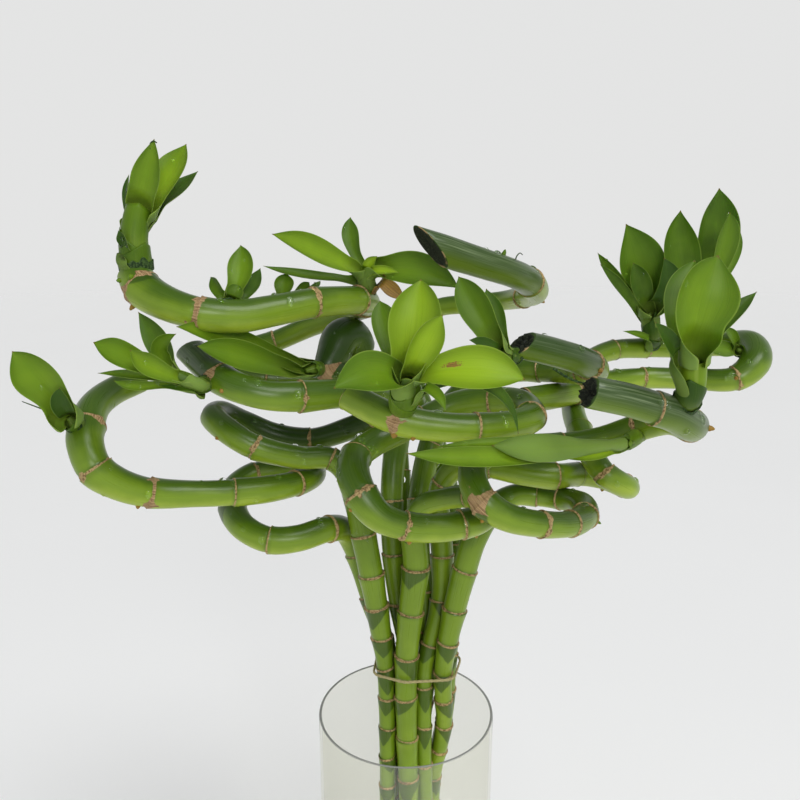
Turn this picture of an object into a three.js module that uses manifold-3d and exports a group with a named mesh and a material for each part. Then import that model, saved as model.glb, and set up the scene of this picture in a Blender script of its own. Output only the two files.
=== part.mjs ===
// Lucky bamboo: nine trained canes with curled tops and leafy shoots, held together by a tie band
// and standing in a clear glass cylinder of water.
// Millimetres, +Z up, +X to the right, +Y away from the viewer, origin under the middle of the vase.
import * as THREE from 'three';
import { mergeVertices } from 'three/addons/utils/BufferGeometryUtils.js';
import Module from 'manifold-3d';

const wasm = await Module();
wasm.setup();

// Vase, water and tie
const VASE_RADIUS = 50;
const VASE_HEIGHT = 250;
const VASE_WALL = 3;
const VASE_FLOOR = 6;
const VASE_HEEL = 2.5;
const VASE_SIDES = 48;
const WATER_DEPTH = 100;
const TIE_HEIGHT = 281;
const TIE_WIDTH = 1.8;
const TIE_THICKNESS = 0.9;
const TIE_SIDES = 14;
const GAP = 0.3;

// Canes
const CANE_SIDES = 8;
const CANE_FOOT = VASE_FLOOR + GAP;
const RING_FLARE = 0.09;
const RING_HALF_STEP = 0.8;
const FOOT_CLEARANCE = 14;
const BEND_PER_STATION = 24 * Math.PI / 180;
const BEND_SAMPLE = 3;
const ROUTE_SAMPLES = 24;

// Leaves
const STALK_SIDES = 7;
const LEAF_THICKNESS = 0.85;
const LEAF_CUP = 0.2;
const LEAF_ROWS = [0, 0.18, 0.4, 0.64, 0.86, 1];
const SHORT_LEAF = 24;
const SHORT_LEAF_ROWS = [0, 0.35, 0.75, 1];
const LEAF_COLUMNS = [-1, 0, 1];
const LEAF_ROOT_PHASE = 0.06;
const LEAF_FULLNESS = 0.8;
const LEAF_TIP_HALF_WIDTH = 0.35;

// Finishes
const GLASS = { color: 0xe8f1ee, roughness: 0.04, metalness: 0, transparent: true, opacity: 0.35 };
const WATER = { color: 0xdfeeea, roughness: 0.02, metalness: 0, transparent: true, opacity: 0.4 };
const RAFFIA = { color: 0xb59a62, roughness: 0.7, metalness: 0 };
const CANE_GREEN = { color: 0x5f8a2e, roughness: 0.35, metalness: 0 };
const LEAF_GREEN = { color: 0x6f9f34, roughness: 0.45, metalness: 0 };

// A cane's route runs from its foot on the vase floor to its cut end. Each point is x, y, z and the
// cane's diameter there, and RING marks a node ring. Below the first ring the stem has rings every
// pitch millimetres.
const RING = true;
const canes = [
  {
    name: 'cane_left_outer',
    pitch: 26,
    route: [
      [-10.5, 2.5, CANE_FOOT, 8.8], [-10.5, 2.5, 130, 9], [-10.3, 4.2, TIE_HEIGHT, 10],
      [-19, 7, 313, 11.5], [-28, 13, 342, 12.5, RING], [-34, 9, 357, 13.5], [-42, -5, 364, 14, RING],
      [-57, -14, 362.5, 13.8], [-72, -16, 362.5, 13.8, RING], [-86, -10, 366.5, 14],
      [-96, 8, 371, 14.5, RING], [-98, 27, 376, 14], [-88, 39, 380, 13.5, RING],
      [-69, 42, 382, 13], [-55, 33, 385, 13], [-52, 16, 387, 13], [-60, 0, 388, 13.5, RING],
      [-72, -11, 389, 14], [-89, -19, 390, 13.5, RING], [-107, -26, 392, 13.5],
      [-127, -35, 396, 14.5, RING], [-140, -43, 404, 15.5], [-148, -46, 412, 16.5, RING],
      [-154, -40, 423, 17], [-156, -31, 429, 16.5, RING], [-157, -17, 435, 15.5],
      [-153, 0, 439, 14.5], [-144, 14, 442, 14],
    ],
  },
  {
    name: 'cane_left_inner',
    pitch: 19.3,
    route: [
      [-11, -8, CANE_FOOT, 8.4], [-11, -8, 130, 8.6], [-11.6, -7.5, TIE_HEIGHT, 9.3],
      [-15, -9, 312, 12], [-19, -10, 340, 13, RING], [-23, -8, 362, 13, RING],
      [-27, -3, 379, 13], [-32, 4, 392, 12.5, RING], [-41, 6, 400, 12, RING],
      [-57, 2, 402, 12], [-80, -3, 408, 12, RING], [-95, 0, 415, 12.5],
      [-105, 12, 421, 12.5, RING], [-104, 30, 423, 12], [-93, 42, 417, 11.5],
      [-77, 46, 406, 12], [-56, 46, 401, 12, RING], [-36, 46, 405, 13],
      [-21, 48, 411, 13.5, RING], [-17, 44, 422, 14], [-23, 34, 434, 14],
      [-34, 24, 442, 15, RING], [-44, 20, 447, 15, RING], [-45, 28, 455, 17],
      [-37, 36, 461, 17.5], [-24, 38, 462.5, 17],
    ],
  },
  {
    name: 'cane_left_middle',
    pitch: 24,
    route: [
      [0.8, 2.5, CANE_FOOT, 8.8], [0.8, 2.5, 130, 9], [1.2, 2.3, TIE_HEIGHT, 10],
      [-4, 6, 315, 11.5, RING], [-7, 6, 345, 12.5, RING], [-8, 9, 375, 12.5, RING],
      [-7, 15, 393, 12.5], [-5, 21, 408, 13, RING], [-6, 17, 424, 13],
      [-16, 1, 436, 13.5], [-32, -18, 442, 14.5, RING], [-52, -32, 444, 15, RING],
      [-67, -38, 446, 14], [-81, -37, 450, 14], [-90, -31, 453, 14.5, RING],
      [-101, -18, 458, 15], [-109, -8, 462, 15],
    ],
  },
  {
    name: 'cane_front',
    pitch: 26.5,
    route: [
      [3.5, -10, CANE_FOOT, 10], [3.5, -10, 130, 10.2], [0, -11, TIE_HEIGHT, 12.2],
      [2, -12, 315, 13.2], [5, -11, 345, 14, RING], [4, -10, 369, 13.5, RING],
      [9, -14, 381, 11.5], [19, -18, 386, 11], [31, -27, 391, 11, RING],
      [38, -38, 392, 12], [36, -51, 390, 13], [25, -59, 389, 13.2, RING],
      [11, -64, 389.5, 13.2], [-2, -68, 392.5, 13, RING], [-13, -70, 398, 14],
      [-21, -67, 407, 15, RING], [-25, -58, 414, 15.5], [-24, -45, 418, 14.5, RING],
      [-16, -33, 421, 13.5], [-4, -26, 425, 13], [9, -20, 430, 12.5, RING],
      [25, -16, 436, 13], [42, -19, 439, 13, RING], [55, -29, 440, 13.5],
      [58, -44, 437, 14, RING], [46, -58, 437, 13], [30, -66, 438, 13, RING],
      [10, -70, 440, 13], [-5, -70, 443, 13.5, RING], [-16, -66, 447, 13.5],
      [-26, -60, 451, 13.5],
    ],
  },
  {
    name: 'cane_centre',
    pitch: 23,
    route: [
      [7.5, 11.5, CANE_FOOT, 8.5], [7.5, 11.5, 130, 8.6], [7.8, 11.3, 200, 8.8],
      [12.8, 6.2, TIE_HEIGHT, 9.5], [10.5, 13, 318, 11, RING], [7.5, 20, 343, 12.5], [8, 28, 368, 13.5, RING],
      [15, 43, 397, 13.5, RING], [26, 52, 418, 13.5], [44, 55, 433, 13.5, RING],
      [66, 48, 440, 13], [77, 43, 441, 13, RING], [89, 30, 443, 12.5],
      [96, 14, 446, 13, RING], [97, -4, 451, 13.5], [90, -19, 457, 14, RING],
      [79, -32, 463, 13.8], [62, -42, 469, 13.5], [52, -47, 472, 13],
    ],
  },
  {
    name: 'cane_right_low',
    pitch: 19.8,
    route: [
      [16, 5, CANE_FOOT, 8.6], [16, 5, 130, 8.8], [16.5, 4.5, 200, 9],
      [22, -1, 240, 9.5], [20.8, -9, TIE_HEIGHT, 10],
      [26.5, -9.5, 319, 12.5, RING], [31.5, -10, 343, 13.5, RING], [37, -8, 361, 13.5],
      [46, 0, 373, 13.5, RING], [59, 6, 379, 12], [72, 8, 378, 11.5, RING],
      [84, 1, 379, 12, RING], [91, -15, 382, 13], [88, -36, 384, 12.8, RING],
      [77, -53, 387, 12.3, RING], [61, -64, 391.5, 12.3, RING], [44, -71, 398, 12.8],
      [34, -71, 405, 13.5, RING], [30, -61, 411, 13.5], [32, -47, 415, 13],
      [42, -36, 418, 12.2, RING], [58, -30, 418, 12.5], [77, -28, 418, 12.5, RING],
      [95, -28, 421, 12.5], [112, -32, 428, 13, RING], [123, -42, 435, 14],
      [128, -58, 437, 14.5, RING], [121, -73, 442, 14.5], [110, -82, 449, 14.2, RING],
      [90, -87, 456, 13.8], [74, -90, 460, 13.5],
    ],
  },
  {
    name: 'cane_far_right',
    pitch: 25.5,
    route: [
      [13, -5, CANE_FOOT, 8], [13, -5, 130, 8.2], [10.8, -5, TIE_HEIGHT, 9],
      [14.5, -2.5, 298, 9.8], [19.5, 2.5, 318, 11.3, RING], [20, 4, 345, 12.5, RING], [18, 8, 371, 12],
      [20, 9, 385, 12, RING], [29, 8, 395, 12.5], [45, 3, 397, 13.5, RING],
      [63, -2, 395, 14], [79, -2, 393, 14, RING], [94, 9, 390, 12.5, RING],
      [108, 12, 387, 12], [118, 2, 386, 12.5], [114, -12, 391, 12.5],
      [102, -15, 399, 12.5, RING], [98, 0, 405, 13], [97, 24, 411, 13.5, RING],
      [99, 52, 416, 13], [103, 73, 425, 12.5, RING], [116, 91, 437, 12],
      [135, 103, 442, 12.5, RING], [158, 110, 442, 12.5, RING], [186, 112, 442, 13],
      [206, 104, 446, 15, RING], [215, 86, 448, 18], [211, 68, 441, 18],
      [197, 62, 432, 14.5, RING], [174, 71, 430, 12.5], [145, 73, 430, 12.5, RING],
      [116, 60, 430, 12.5], [97, 44, 428, 14, RING], [79, 28, 429, 14.5],
      [64, 17, 430, 14],
    ],
  },
  {
    name: 'cane_top',
    pitch: 25,
    route: [
      [17, 16.5, CANE_FOOT, 8.4], [17, 16.5, 130, 8.6], [17.5, 16, 200, 8.8],
      [23.5, 10.5, 240, 9.3], [24.2, 3.5, TIE_HEIGHT, 10],
      [27, 11, 308, 11, RING], [28, 25, 341, 12, RING], [24, 48, 373, 12.5, RING],
      [12, 78, 408, 12.5, RING], [1, 98, 438, 12], [-1, 111, 457, 12, RING],
      [22, 114, 468, 11.5], [42, 110, 471, 11.5, RING], [62, 102, 474, 12],
      [72, 80, 479, 13, RING], [74, 52, 485, 14], [66, 25, 493, 15, RING],
      [53, 4, 500, 14.5], [31, -8, 508, 14.5], [13, -15, 514, 14],
      [5, -18, 517, 14],
    ],
  },
  {
    name: 'cane_top_left',
    pitch: 28,
    route: [
      [-4, 13.5, CANE_FOOT, 8.4], [-4, 13.5, 130, 8.6], [-3.6, 13.6, 200, 8.8], [3, 14.3, TIE_HEIGHT, 10],
      [1, 24, 318, 11.5, RING], [-2, 34, 347, 12, RING], [-4, 49, 378, 13, RING],
      [-8, 62, 402, 13.5, RING], [-18, 67, 420, 13.5], [-38, 61, 429, 13, RING],
      [-60, 55, 431, 13], [-81, 47, 433, 13, RING], [-97, 49, 437, 13],
      [-103, 57, 443, 13, RING], [-95, 65, 449, 12.5], [-78, 67, 454, 12.5, RING],
      [-57, 66, 463, 12.5], [-36, 56, 472, 13], [-22, 36, 480, 14, RING],
      [-26, 12, 485, 14.5, RING], [-47, -8, 486, 15, RING], [-63, -18, 484, 15.2],
      [-80, -26, 482, 15.5], [-98, -31, 484, 15.5, RING], [-114, -28, 488.5, 16.5],
      [-127, -21, 494, 17.5], [-132, -15, 501, 17],
    ],
  },
];

// A shoot sits on its cane. Its stalk comes first: points of x, y, z and diameter, from inside the
// cane. Each leaf is its root, its middle, its tip, its width, the way its upper face looks and its
// belly, which is 1 for a leaf that is widest halfway and more for one widest nearer the tip.
const shoots = [
  {
    name: 'shoot_top_left',
    cane: 'cane_top_left',
    stalk: [[-131, -15, 503, 16], [-131, -16, 517, 16], [-129, -15, 528, 15.5], [-127, -15, 534, 12]],
    leaves: [
      [[-127, -17, 532], [-120, -21, 547], [-116, -22, 563], 12, [0, -1, 0.15], 0.95],
      [[-126, -14, 531], [-114, -9, 546], [-106, -4, 562], 15.5, [-0.5, -1, 0.1], 1.3],
      [[-125, -12, 530], [-115, -2, 538], [-105, 12, 550], 9.5, [-0.4, -0.7, 0.6], 1.2],
      [[-133, -12, 528], [-136, -5, 538], [-136, 0, 548], 7, [-0.7, -0.7, 0], 1.2],
      [[-133, -19, 510], [-133, -24, 517], [-135, -25, 522], 6, [-0.4, -1, 0.1], 1.2],
    ],
  },
  {
    name: 'shoot_left',
    cane: 'cane_left_outer',
    stalk: [[-158, -32, 429, 9], [-158, -42, 434, 9.5], [-160, -44, 438, 8]],
    leaves: [
      [[-158, -44, 437], [-164, -58, 458], [-172, -64, 472], 19, [0, -1, 0.3], 1.35],
      [[-157, -44, 435], [-157, -55, 446], [-156, -57, 454], 9, [0.3, -1, 0.1], 1.1],
    ],
  },
  {
    name: 'shoot_left_middle',
    cane: 'cane_left_middle',
    stalk: [[-96, -33, 451, 8], [-97, -43, 452, 7.5], [-103, -46, 455, 6.5], [-108, -46, 459, 5]],
    leaves: [
      [[-99, -46, 454], [-121, -60, 467], [-134, -70, 477], 12.5, [0, -0.8, 0.6], 1.9],
      [[-100, -47, 455], [-112, -58, 463], [-120, -66, 473], 10, [0.1, -1, 0.4], 1.6],
      [[-100, -45, 453], [-119, -53, 458], [-138, -58, 461], 6.5, [0, -0.5, 1], 1.3],
      [[-108, -45, 458], [-115, -38, 470], [-126, -33, 485], 12, [-0.1, -1, 0.1], 1.3],
      [[-107, -47, 458], [-112, -49, 470], [-103, -54, 478], 8.5, [0.1, -1, 0.2], 1.1],
      [[-95, -46, 450], [-103, -50, 452], [-113, -52, 454], 4, [0, -0.6, 0.8], 1.1],
      [[-106, -44, 454], [-125, -42, 451.5], [-137, -42, 454], 4.5, [0, -0.9, 0.3], 1.3],
    ],
  },
  {
    name: 'shoot_inner_left',
    cane: 'cane_left_inner',
    stalk: [[-46, 20, 447, 8], [-49, 8, 449, 8.5], [-54, 2, 449, 7]],
    leaves: [
      [[-54, 3, 448], [-76, -20, 461], [-100, -44, 471], 13.5, [0, -0.8, 0.6], 1.3],
      [[-54, 4, 450], [-81, -33, 471], [-105, -46, 480], 9, [0, -0.6, 0.8], 1.2],
      [[-53, 6, 451], [-72, 8, 459], [-87, 14, 468], 7, [0, -0.7, 0.7], 1.1],
    ],
  },
  {
    name: 'shoot_behind_left',
    cane: 'cane_top_left',
    stalk: [[-85, -28, 484, 8], [-87, -17, 487, 8], [-86, -15, 490, 6]],
    leaves: [
      [[-86, -17, 489], [-82, -8, 502], [-83, 0, 514], 12.5, [0, -1, 0.1], 1.3],
      [[-88, -18, 488], [-93, -13, 494], [-97, -8, 499], 6.5, [-0.3, -1, 0.1], 1.2],
      [[-83, -16, 488], [-78, -4, 494], [-75, 8, 502], 7, [0.3, -1, 0.2], 1.1],
      [[-85, -19, 488], [-83, -19, 493], [-82, -17, 496], 8, [0.1, -1, 0.1], 1.1],
    ],
  },
  {
    name: 'shoot_behind_middle',
    cane: 'cane_top_left',
    stalk: [[-53, -8, 484, 8], [-59, 2, 484, 7], [-61, 3, 487, 5]],
    leaves: [
      [[-62, 1, 486], [-63, 8, 493], [-62, 12, 499], 10, [0, -1, 0.1], 1.2],
      [[-58, 2, 486], [-54, 10, 491], [-51, 16, 494], 5.5, [0, -1, 0.1], 1.1],
      [[-57, 2, 486], [-49, 14, 491], [-46, 24, 494], 3.5, [0.2, -0.7, 0.6], 1],
    ],
  },
  {
    name: 'shoot_top_middle',
    cane: 'cane_top_left',
    stalk: [[-25, 26, 481, 9], [-20, 19, 489, 8.5], [-21, 16, 495, 8.5], [-20, 15, 500, 7]],
    leaves: [
      [[-22, 15, 498], [-44, 0, 510], [-65, -14, 520], 15, [0, -0.8, 0.6], 1.3],
      [[-23, 18, 496], [-49, 13, 497], [-74, 10, 503], 7.5, [0, -0.5, 0.8], 1.2],
      [[-22, 18, 499], [-29, 27, 514], [-30, 34, 527], 9, [0, -1, 0], 1.5],
      [[-20, 13, 499], [5, 8, 499], [27, 4, 492], 14, [0.1, -0.9, 0.4], 1.3],
      [[-19, 22, 500], [-2, 32, 505], [19, 40, 502], 8, [0, -0.9, 0.4], 1.2],
      [[-22, 13, 500], [-15, 11, 501], [-8, 11, 501], 4.5, [0, -0.9, 0.4], 1],
    ],
  },
  {
    name: 'shoot_centre',
    cane: 'cane_centre',
    stalk: [[54, -47, 471, 8], [47, -56, 473, 8.5], [44, -58, 477, 7]],
    leaves: [
      [[43, -58, 476], [34, -55, 489], [28, -50, 502], 12.5, [-0.2, -1, 0.1], 1.3],
      [[44, -57, 475], [42, -47, 484], [43, -38, 493], 8, [0.3, -1, 0], 1.2],
      [[46, -58, 473], [36, -66, 476], [26, -70, 479], 5, [0, -0.6, 0.8], 1.2],
    ],
  },
  {
    name: 'shoot_front',
    cane: 'cane_front',
    stalk: [[-3, -73, 443, 10], [-1, -86, 454, 14], [-1, -89, 461, 13], [-1, -90, 467, 8]],
    leaves: [
      [[-1, -90, 465], [3, -91, 488], [5, -84, 505], 21, [-0.2, -1, 0.1], 1.2],
      [[0, -92, 466], [6, -99, 481], [13, -100, 493], 13, [0.3, -1, 0.15], 1.2],
      [[-1, -91, 465], [-14, -106, 471], [-28, -118, 468], 17, [0.1, -0.9, 0.5], 1.1],
      [[-1, -90, 466], [24, -97, 471], [46, -98, 467], 18, [0, -0.9, 0.5], 1.4],
      [[-3, -86, 466], [-9, -72, 483], [-12, -64, 494], 11.5, [0, -1, 0.1], 1.2],
      [[2, -93, 463], [10, -103, 463], [14, -110, 457], 5, [0.2, -0.8, 0.4], 1],
      [[2, -88, 463], [32, -92, 463], [46, -86, 441], 5.5, [0.3, -0.7, 0.5], 1.2],
    ],
  },
  {
    name: 'shoot_low_right',
    cane: 'cane_right_low',
    stalk: [[113, -34, 426, 9], [103, -46, 425, 8.5], [94, -54, 427, 6.5]],
    leaves: [
      [[94, -55, 427], [61, -78, 433], [35, -86, 436], 12.5, [0, -0.9, 0.5], 1.9],
      [[94, -52, 425], [41, -84, 430], [-1, -100, 437], 9.5, [0, -0.8, 0.6], 1.5],
      [[96, -52, 427], [49, -68, 432], [11, -82, 434], 5, [0, -0.6, 0.8], 1.4],
      [[100, -49, 424], [85, -62, 425], [69, -70, 425], 6, [0.1, -0.9, 0.4], 1.2],
    ],
  },
  {
    name: 'shoot_far_right',
    cane: 'cane_far_right',
    stalk: [[162, 110, 442, 9], [158, 100, 452, 12], [154, 96, 464, 11], [152, 94, 470, 8]],
    leaves: [
      [[152, 96, 466], [130, 88, 489], [116, 84, 505], 7, [-0.4, -1, 0.1], 1.3],
      [[152, 96, 461], [134, 84, 482], [115, 72, 499], 6.5, [-0.4, -1, 0.1], 1.3],
      [[154, 98, 466], [146, 93, 494], [133, 88, 522], 28, [0, -1, 0.15], 1.3],
      [[153, 94, 467], [144, 86, 486], [138, 84, 499], 12.5, [-0.1, -1, 0.1], 1.2],
      [[154, 96, 468], [157, 93, 488], [155, 94, 502], 14, [0.3, -1, 0.1], 1.2],
      [[159, 99, 447], [149, 90, 453], [135, 86, 457], 5, [0, -0.8, 0.6], 1.1],
    ],
  },
  {
    name: 'shoot_far_turn',
    cane: 'cane_far_right',
    stalk: [[211, 84, 444, 8], [205, 76, 446, 7.5], [201, 72, 448, 6]],
    leaves: [
      [[203, 74, 447], [187, 62, 450], [173, 54, 452], 10, [0, -0.9, 0.4], 1.1],
      [[203, 75, 448], [195, 66, 457], [187, 60, 463], 7, [0, -1, 0.3], 1.1],
    ],
  },
  {
    name: 'shoot_tall_right',
    cane: 'cane_far_right',
    stalk: [[193, 110, 442, 9], [189, 100, 459, 11], [184, 92, 472, 10], [183, 90, 478, 8]],
    leaves: [
      [[183, 91, 474], [168, 88, 503], [164, 84, 530], 21.5, [-0.1, -1, 0.1], 1.3],
      [[185, 93, 473], [191, 97, 512], [190, 95, 543], 27, [0.05, -1, 0.1], 1.2],
      [[184, 88, 474], [189, 78, 507], [189, 73, 529], 15.5, [0.3, -1, 0.1], 1.4],
      [[185, 90, 474], [200, 91, 499], [204, 91, 517], 9, [0.8, -0.8, 0.1], 1.2],
    ],
  },
  {
    name: 'shoot_right',
    cane: 'cane_right_low',
    stalk: [[116, -80, 450, 10], [116, -87, 461, 12], [115, -88, 468, 10.5], [114, -88, 472, 8]],
    leaves: [
      [[114, -90, 470], [113, -97, 494], [120, -92, 515], 25, [0.1, -1, 0.15], 1.3],
      [[116, -86, 474], [131, -78, 487], [148, -66, 498], 6, [-0.3, -0.6, 0.9], 1.2],
      [[114, -85, 470], [114, -75, 493], [122, -62, 511], 15.5, [-0.4, -1, 0.1], 1.3],
      [[112, -90, 468], [103, -98, 481], [95, -100, 490], 6.5, [0.1, -1, 0.2], 1.2],
    ],
  },
];

// A closed surface of shared corners with no flattened triangles, its faces pointing out
function closed(geometry) {
  geometry.deleteAttribute('normal');
  geometry.deleteAttribute('uv');
  const merged = mergeVertices(geometry, 1e-4);
  const corners = merged.index.array;
  const place = merged.attributes.position;
  const kept = [];
  let volume = 0;
  const [a, b, c] = [new THREE.Vector3(), new THREE.Vector3(), new THREE.Vector3()];
  for (let i = 0; i < corners.length; i += 3) {
    const [p, q, r] = [corners[i], corners[i + 1], corners[i + 2]];
    if (p === q || q === r || r === p) continue;
    kept.push([p, q, r]);
    a.fromBufferAttribute(place, p);
    b.fromBufferAttribute(place, q);
    c.fromBufferAttribute(place, r);
    volume += a.dot(b.cross(c));
  }
  merged.setIndex(kept.map((face) => (volume < 0 ? [...face].reverse() : face)).flat());
  return merged;
}

// Joins and cuts on closed surfaces
function solid(geometry) {
  const vertProperties = Float32Array.from(geometry.attributes.position.array);
  const triVerts = Uint32Array.from(geometry.index.array);
  return new wasm.Manifold(new wasm.Mesh({ numProp: 3, vertProperties, triVerts }));
}

function surface(body) {
  const mesh = body.getMesh();
  const geometry = new THREE.BufferGeometry();
  geometry.setAttribute('position', new THREE.BufferAttribute(Float32Array.from(mesh.vertProperties), 3));
  geometry.setIndex(Array.from(mesh.triVerts));
  return geometry;
}

// The largest of the pieces that a cut leaves
function largestPiece(body) {
  const pieces = body.decompose();
  pieces.sort((one, other) => other.volume() - one.volume());
  return pieces[0];
}

// A route with its smooth curve and the distance along it of each of its points
function trace(route) {
  const curve = new THREE.CatmullRomCurve3(
    route.map(([x, y, z]) => new THREE.Vector3(x, y, z)), false, 'centripetal');
  const samples = (route.length - 1) * ROUTE_SAMPLES;
  curve.arcLengthDivisions = samples;
  const lengths = curve.getLengths(samples);
  const distances = route.map((point, i) => lengths[i * ROUTE_SAMPLES]);
  return { curve, distances, length: distances.at(-1) };
}

// The radius at a distance along a route, between the diameters of its points
function radiusAt(route, distances, distance) {
  let i = 1;
  while (i < route.length - 1 && distances[i] < distance) i += 1;
  const share = (distance - distances[i - 1]) / (distances[i] - distances[i - 1]);
  return THREE.MathUtils.lerp(route[i - 1][3], route[i][3], share) / 2;
}

// A turned shape, given as distances along a route and radii there, bent to follow the route
function bentTurning(traced, stations, sides) {
  const outline = stations.map(([distance, radius]) => new THREE.Vector2(radius, distance));
  outline.unshift(new THREE.Vector2(0, stations[0][0]));
  outline.push(new THREE.Vector2(0, stations.at(-1)[0]));
  const turned = new THREE.LatheGeometry(outline, sides);
  const across = new THREE.Vector3(1, 0, 0);
  let last = new THREE.Vector3(0, 0, 1);
  const turn = new THREE.Quaternion();
  const frames = outline.map(({ y }) => {
    const share = y / traced.length;
    const along = traced.curve.getTangentAt(share);
    across.applyQuaternion(turn.setFromUnitVectors(last, along));
    across.addScaledVector(along, -across.dot(along)).normalize();
    last = along;
    const centre = traced.curve.getPointAt(share);
    return { centre, across: across.clone(), upward: new THREE.Vector3().crossVectors(across, along) };
  });
  const place = turned.attributes.position;
  const corner = new THREE.Vector3();
  for (let i = 0; i < place.count; i += 1) {
    const { centre, across: side, upward } = frames[i % outline.length];
    corner.copy(centre).addScaledVector(side, place.getX(i)).addScaledVector(upward, place.getZ(i));
    place.setXYZ(i, corner.x, corner.y, corner.z);
  }
  return closed(turned);
}

// The distances along a cane of its node rings, the marked ones and those down its stem
function ringDistances(cane, distances) {
  const marked = distances.filter((distance, i) => cane.route[i][4]);
  const rings = [...marked];
  for (let d = marked[0] - cane.pitch; d > FOOT_CLEARANCE; d -= cane.pitch) rings.unshift(d);
  return rings;
}

// A cane: each stretch between rings widens to its upper ring and then steps back in
function caneGeometry(cane, extra = 0) {
  const traced = trace(cane.route);
  const radius = (distance) => radiusAt(cane.route, traced.distances, distance);
  const rings = ringDistances(cane, traced.distances);
  const stations = [[0, radius(0) + extra]];
  let heading = traced.curve.getTangentAt(0);
  let bottom = 0;
  const addBends = (from, to, ring) => {
    for (let d = from + BEND_SAMPLE; d < to - BEND_SAMPLE; d += BEND_SAMPLE) {
      const tangent = traced.curve.getTangentAt(d / traced.length);
      if (tangent.angleTo(heading) < BEND_PER_STATION) continue;
      const rise = ring ? ((d - from) / (to - from)) ** 2 : 0;
      stations.push([d, radius(d) * (1 + RING_FLARE * rise) + extra]);
      heading = tangent;
    }
  };
  for (const ring of rings) {
    addBends(bottom, ring, true);
    stations.push([ring - RING_HALF_STEP, radius(ring) * (1 + RING_FLARE) + extra]);
    stations.push([ring + RING_HALF_STEP, radius(ring) + extra]);
    heading = traced.curve.getTangentAt(ring / traced.length);
    bottom = ring;
  }
  addBends(bottom, traced.length, false);
  stations.push([traced.length, radius(traced.length) + extra]);
  return bentTurning(traced, stations, CANE_SIDES);
}

// A leaf blade: a long pointed oval that bends along its rib and is cupped across it
function leafGeometry([from, through, to, width, face, belly]) {
  const [root, middle, tip] = [from, through, to].map((point) => new THREE.Vector3(...point));
  const control = middle.clone().multiplyScalar(2).addScaledVector(root, -0.5).addScaledVector(tip, -0.5);
  const spine = new THREE.QuadraticBezierCurve3(root, control, tip);
  const shares = root.distanceTo(tip) < SHORT_LEAF ? SHORT_LEAF_ROWS : LEAF_ROWS;
  const corners = [];
  for (const below of [0, LEAF_THICKNESS]) {
    for (const s of shares) {
      const along = spine.getTangent(s);
      const up = new THREE.Vector3(...face);
      up.addScaledVector(along, -up.dot(along)).normalize();
      const side = new THREE.Vector3().crossVectors(up, along);
      const swell = Math.sin(Math.PI * (LEAF_ROOT_PHASE + (1 - LEAF_ROOT_PHASE) * s ** belly));
      const half = Math.max(LEAF_TIP_HALF_WIDTH, width / 2 * swell ** LEAF_FULLNESS);
      for (const v of LEAF_COLUMNS) {
        const corner = spine.getPoint(s).addScaledVector(side, v * half);
        corner.addScaledVector(up, LEAF_CUP * half * v * v - below);
        corners.push(corner.x, corner.y, corner.z);
      }
    }
  }
  const across = LEAF_COLUMNS.length;
  const rows = shares.length;
  const under = rows * across;
  const faces = [];
  const quad = (a, b, c, d) => faces.push(a, b, c, a, c, d);
  for (let i = 0; i < rows - 1; i += 1) {
    for (let j = 0; j < across - 1; j += 1) {
      const a = i * across + j;
      quad(a, a + 1, a + across + 1, a + across);
      faces.push(under + a, under + a + across + 1, under + a + 1);
      faces.push(under + a, under + a + across, under + a + across + 1);
    }
    const left = i * across;
    const right = left + across - 1;
    quad(left, left + across, under + left + across, under + left);
    quad(right, under + right, under + right + across, right + across);
  }
  for (let j = 0; j < across - 1; j += 1) {
    const end = (rows - 1) * across + j;
    quad(j, under + j, under + j + 1, j + 1);
    quad(end, end + 1, under + end + 1, under + end);
  }
  const geometry = new THREE.BufferGeometry();
  geometry.setAttribute('position', new THREE.Float32BufferAttribute(corners, 3));
  geometry.setIndex(faces);
  return closed(geometry);
}

// A shoot: its leaves sunk into the stalk, the whole cut to sit round its cane
function shootGeometry(shoot) {
  const traced = trace(shoot.stalk);
  const stations = shoot.stalk.map((point, i) => [traced.distances[i], point[3] / 2]);
  let body = solid(bentTurning(traced, stations, STALK_SIDES));
  for (const leaf of shoot.leaves) body = body.add(solid(leafGeometry(leaf)));
  const cane = canes.find(({ name }) => name === shoot.cane);
  return surface(largestPiece(body.subtract(solid(caneGeometry(cane, GAP)))));
}

// The vase: a plain straight cylinder with a thick floor and a fire-rounded rim
function vaseGeometry() {
  const inner = VASE_RADIUS - VASE_WALL;
  const rim = VASE_WALL / 2;
  const outline = [[0, 0], [VASE_RADIUS - VASE_HEEL, 0], [VASE_RADIUS, VASE_HEEL]];
  for (let step = 0; step <= 4; step += 1) {
    const angle = step * Math.PI / 4;
    outline.push([inner + rim + rim * Math.cos(angle), VASE_HEIGHT - rim + rim * Math.sin(angle)]);
  }
  outline.push([inner, VASE_FLOOR + VASE_HEEL], [inner - VASE_HEEL, VASE_FLOOR], [0, VASE_FLOOR]);
  return uprightTurning(outline, VASE_SIDES);
}

// A turned shape standing on its axis, from radii and heights
function uprightTurning(outline, sides) {
  const turned = new THREE.LatheGeometry(outline.map(([r, z]) => new THREE.Vector2(r, z)), sides);
  turned.rotateX(Math.PI / 2);
  return closed(turned);
}

// The water, clear of the glass, with a plain hole for each cane
function waterGeometry() {
  const radius = VASE_RADIUS - VASE_WALL - GAP;
  const outline = [
    [0, CANE_FOOT], [radius - VASE_HEEL, CANE_FOOT], [radius, CANE_FOOT + VASE_HEEL],
    [radius, VASE_FLOOR + WATER_DEPTH], [0, VASE_FLOOR + WATER_DEPTH],
  ];
  let body = solid(uprightTurning(outline, VASE_SIDES));
  for (const cane of canes) body = body.subtract(solid(stemHole(cane)));
  return surface(largestPiece(body));
}

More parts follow.
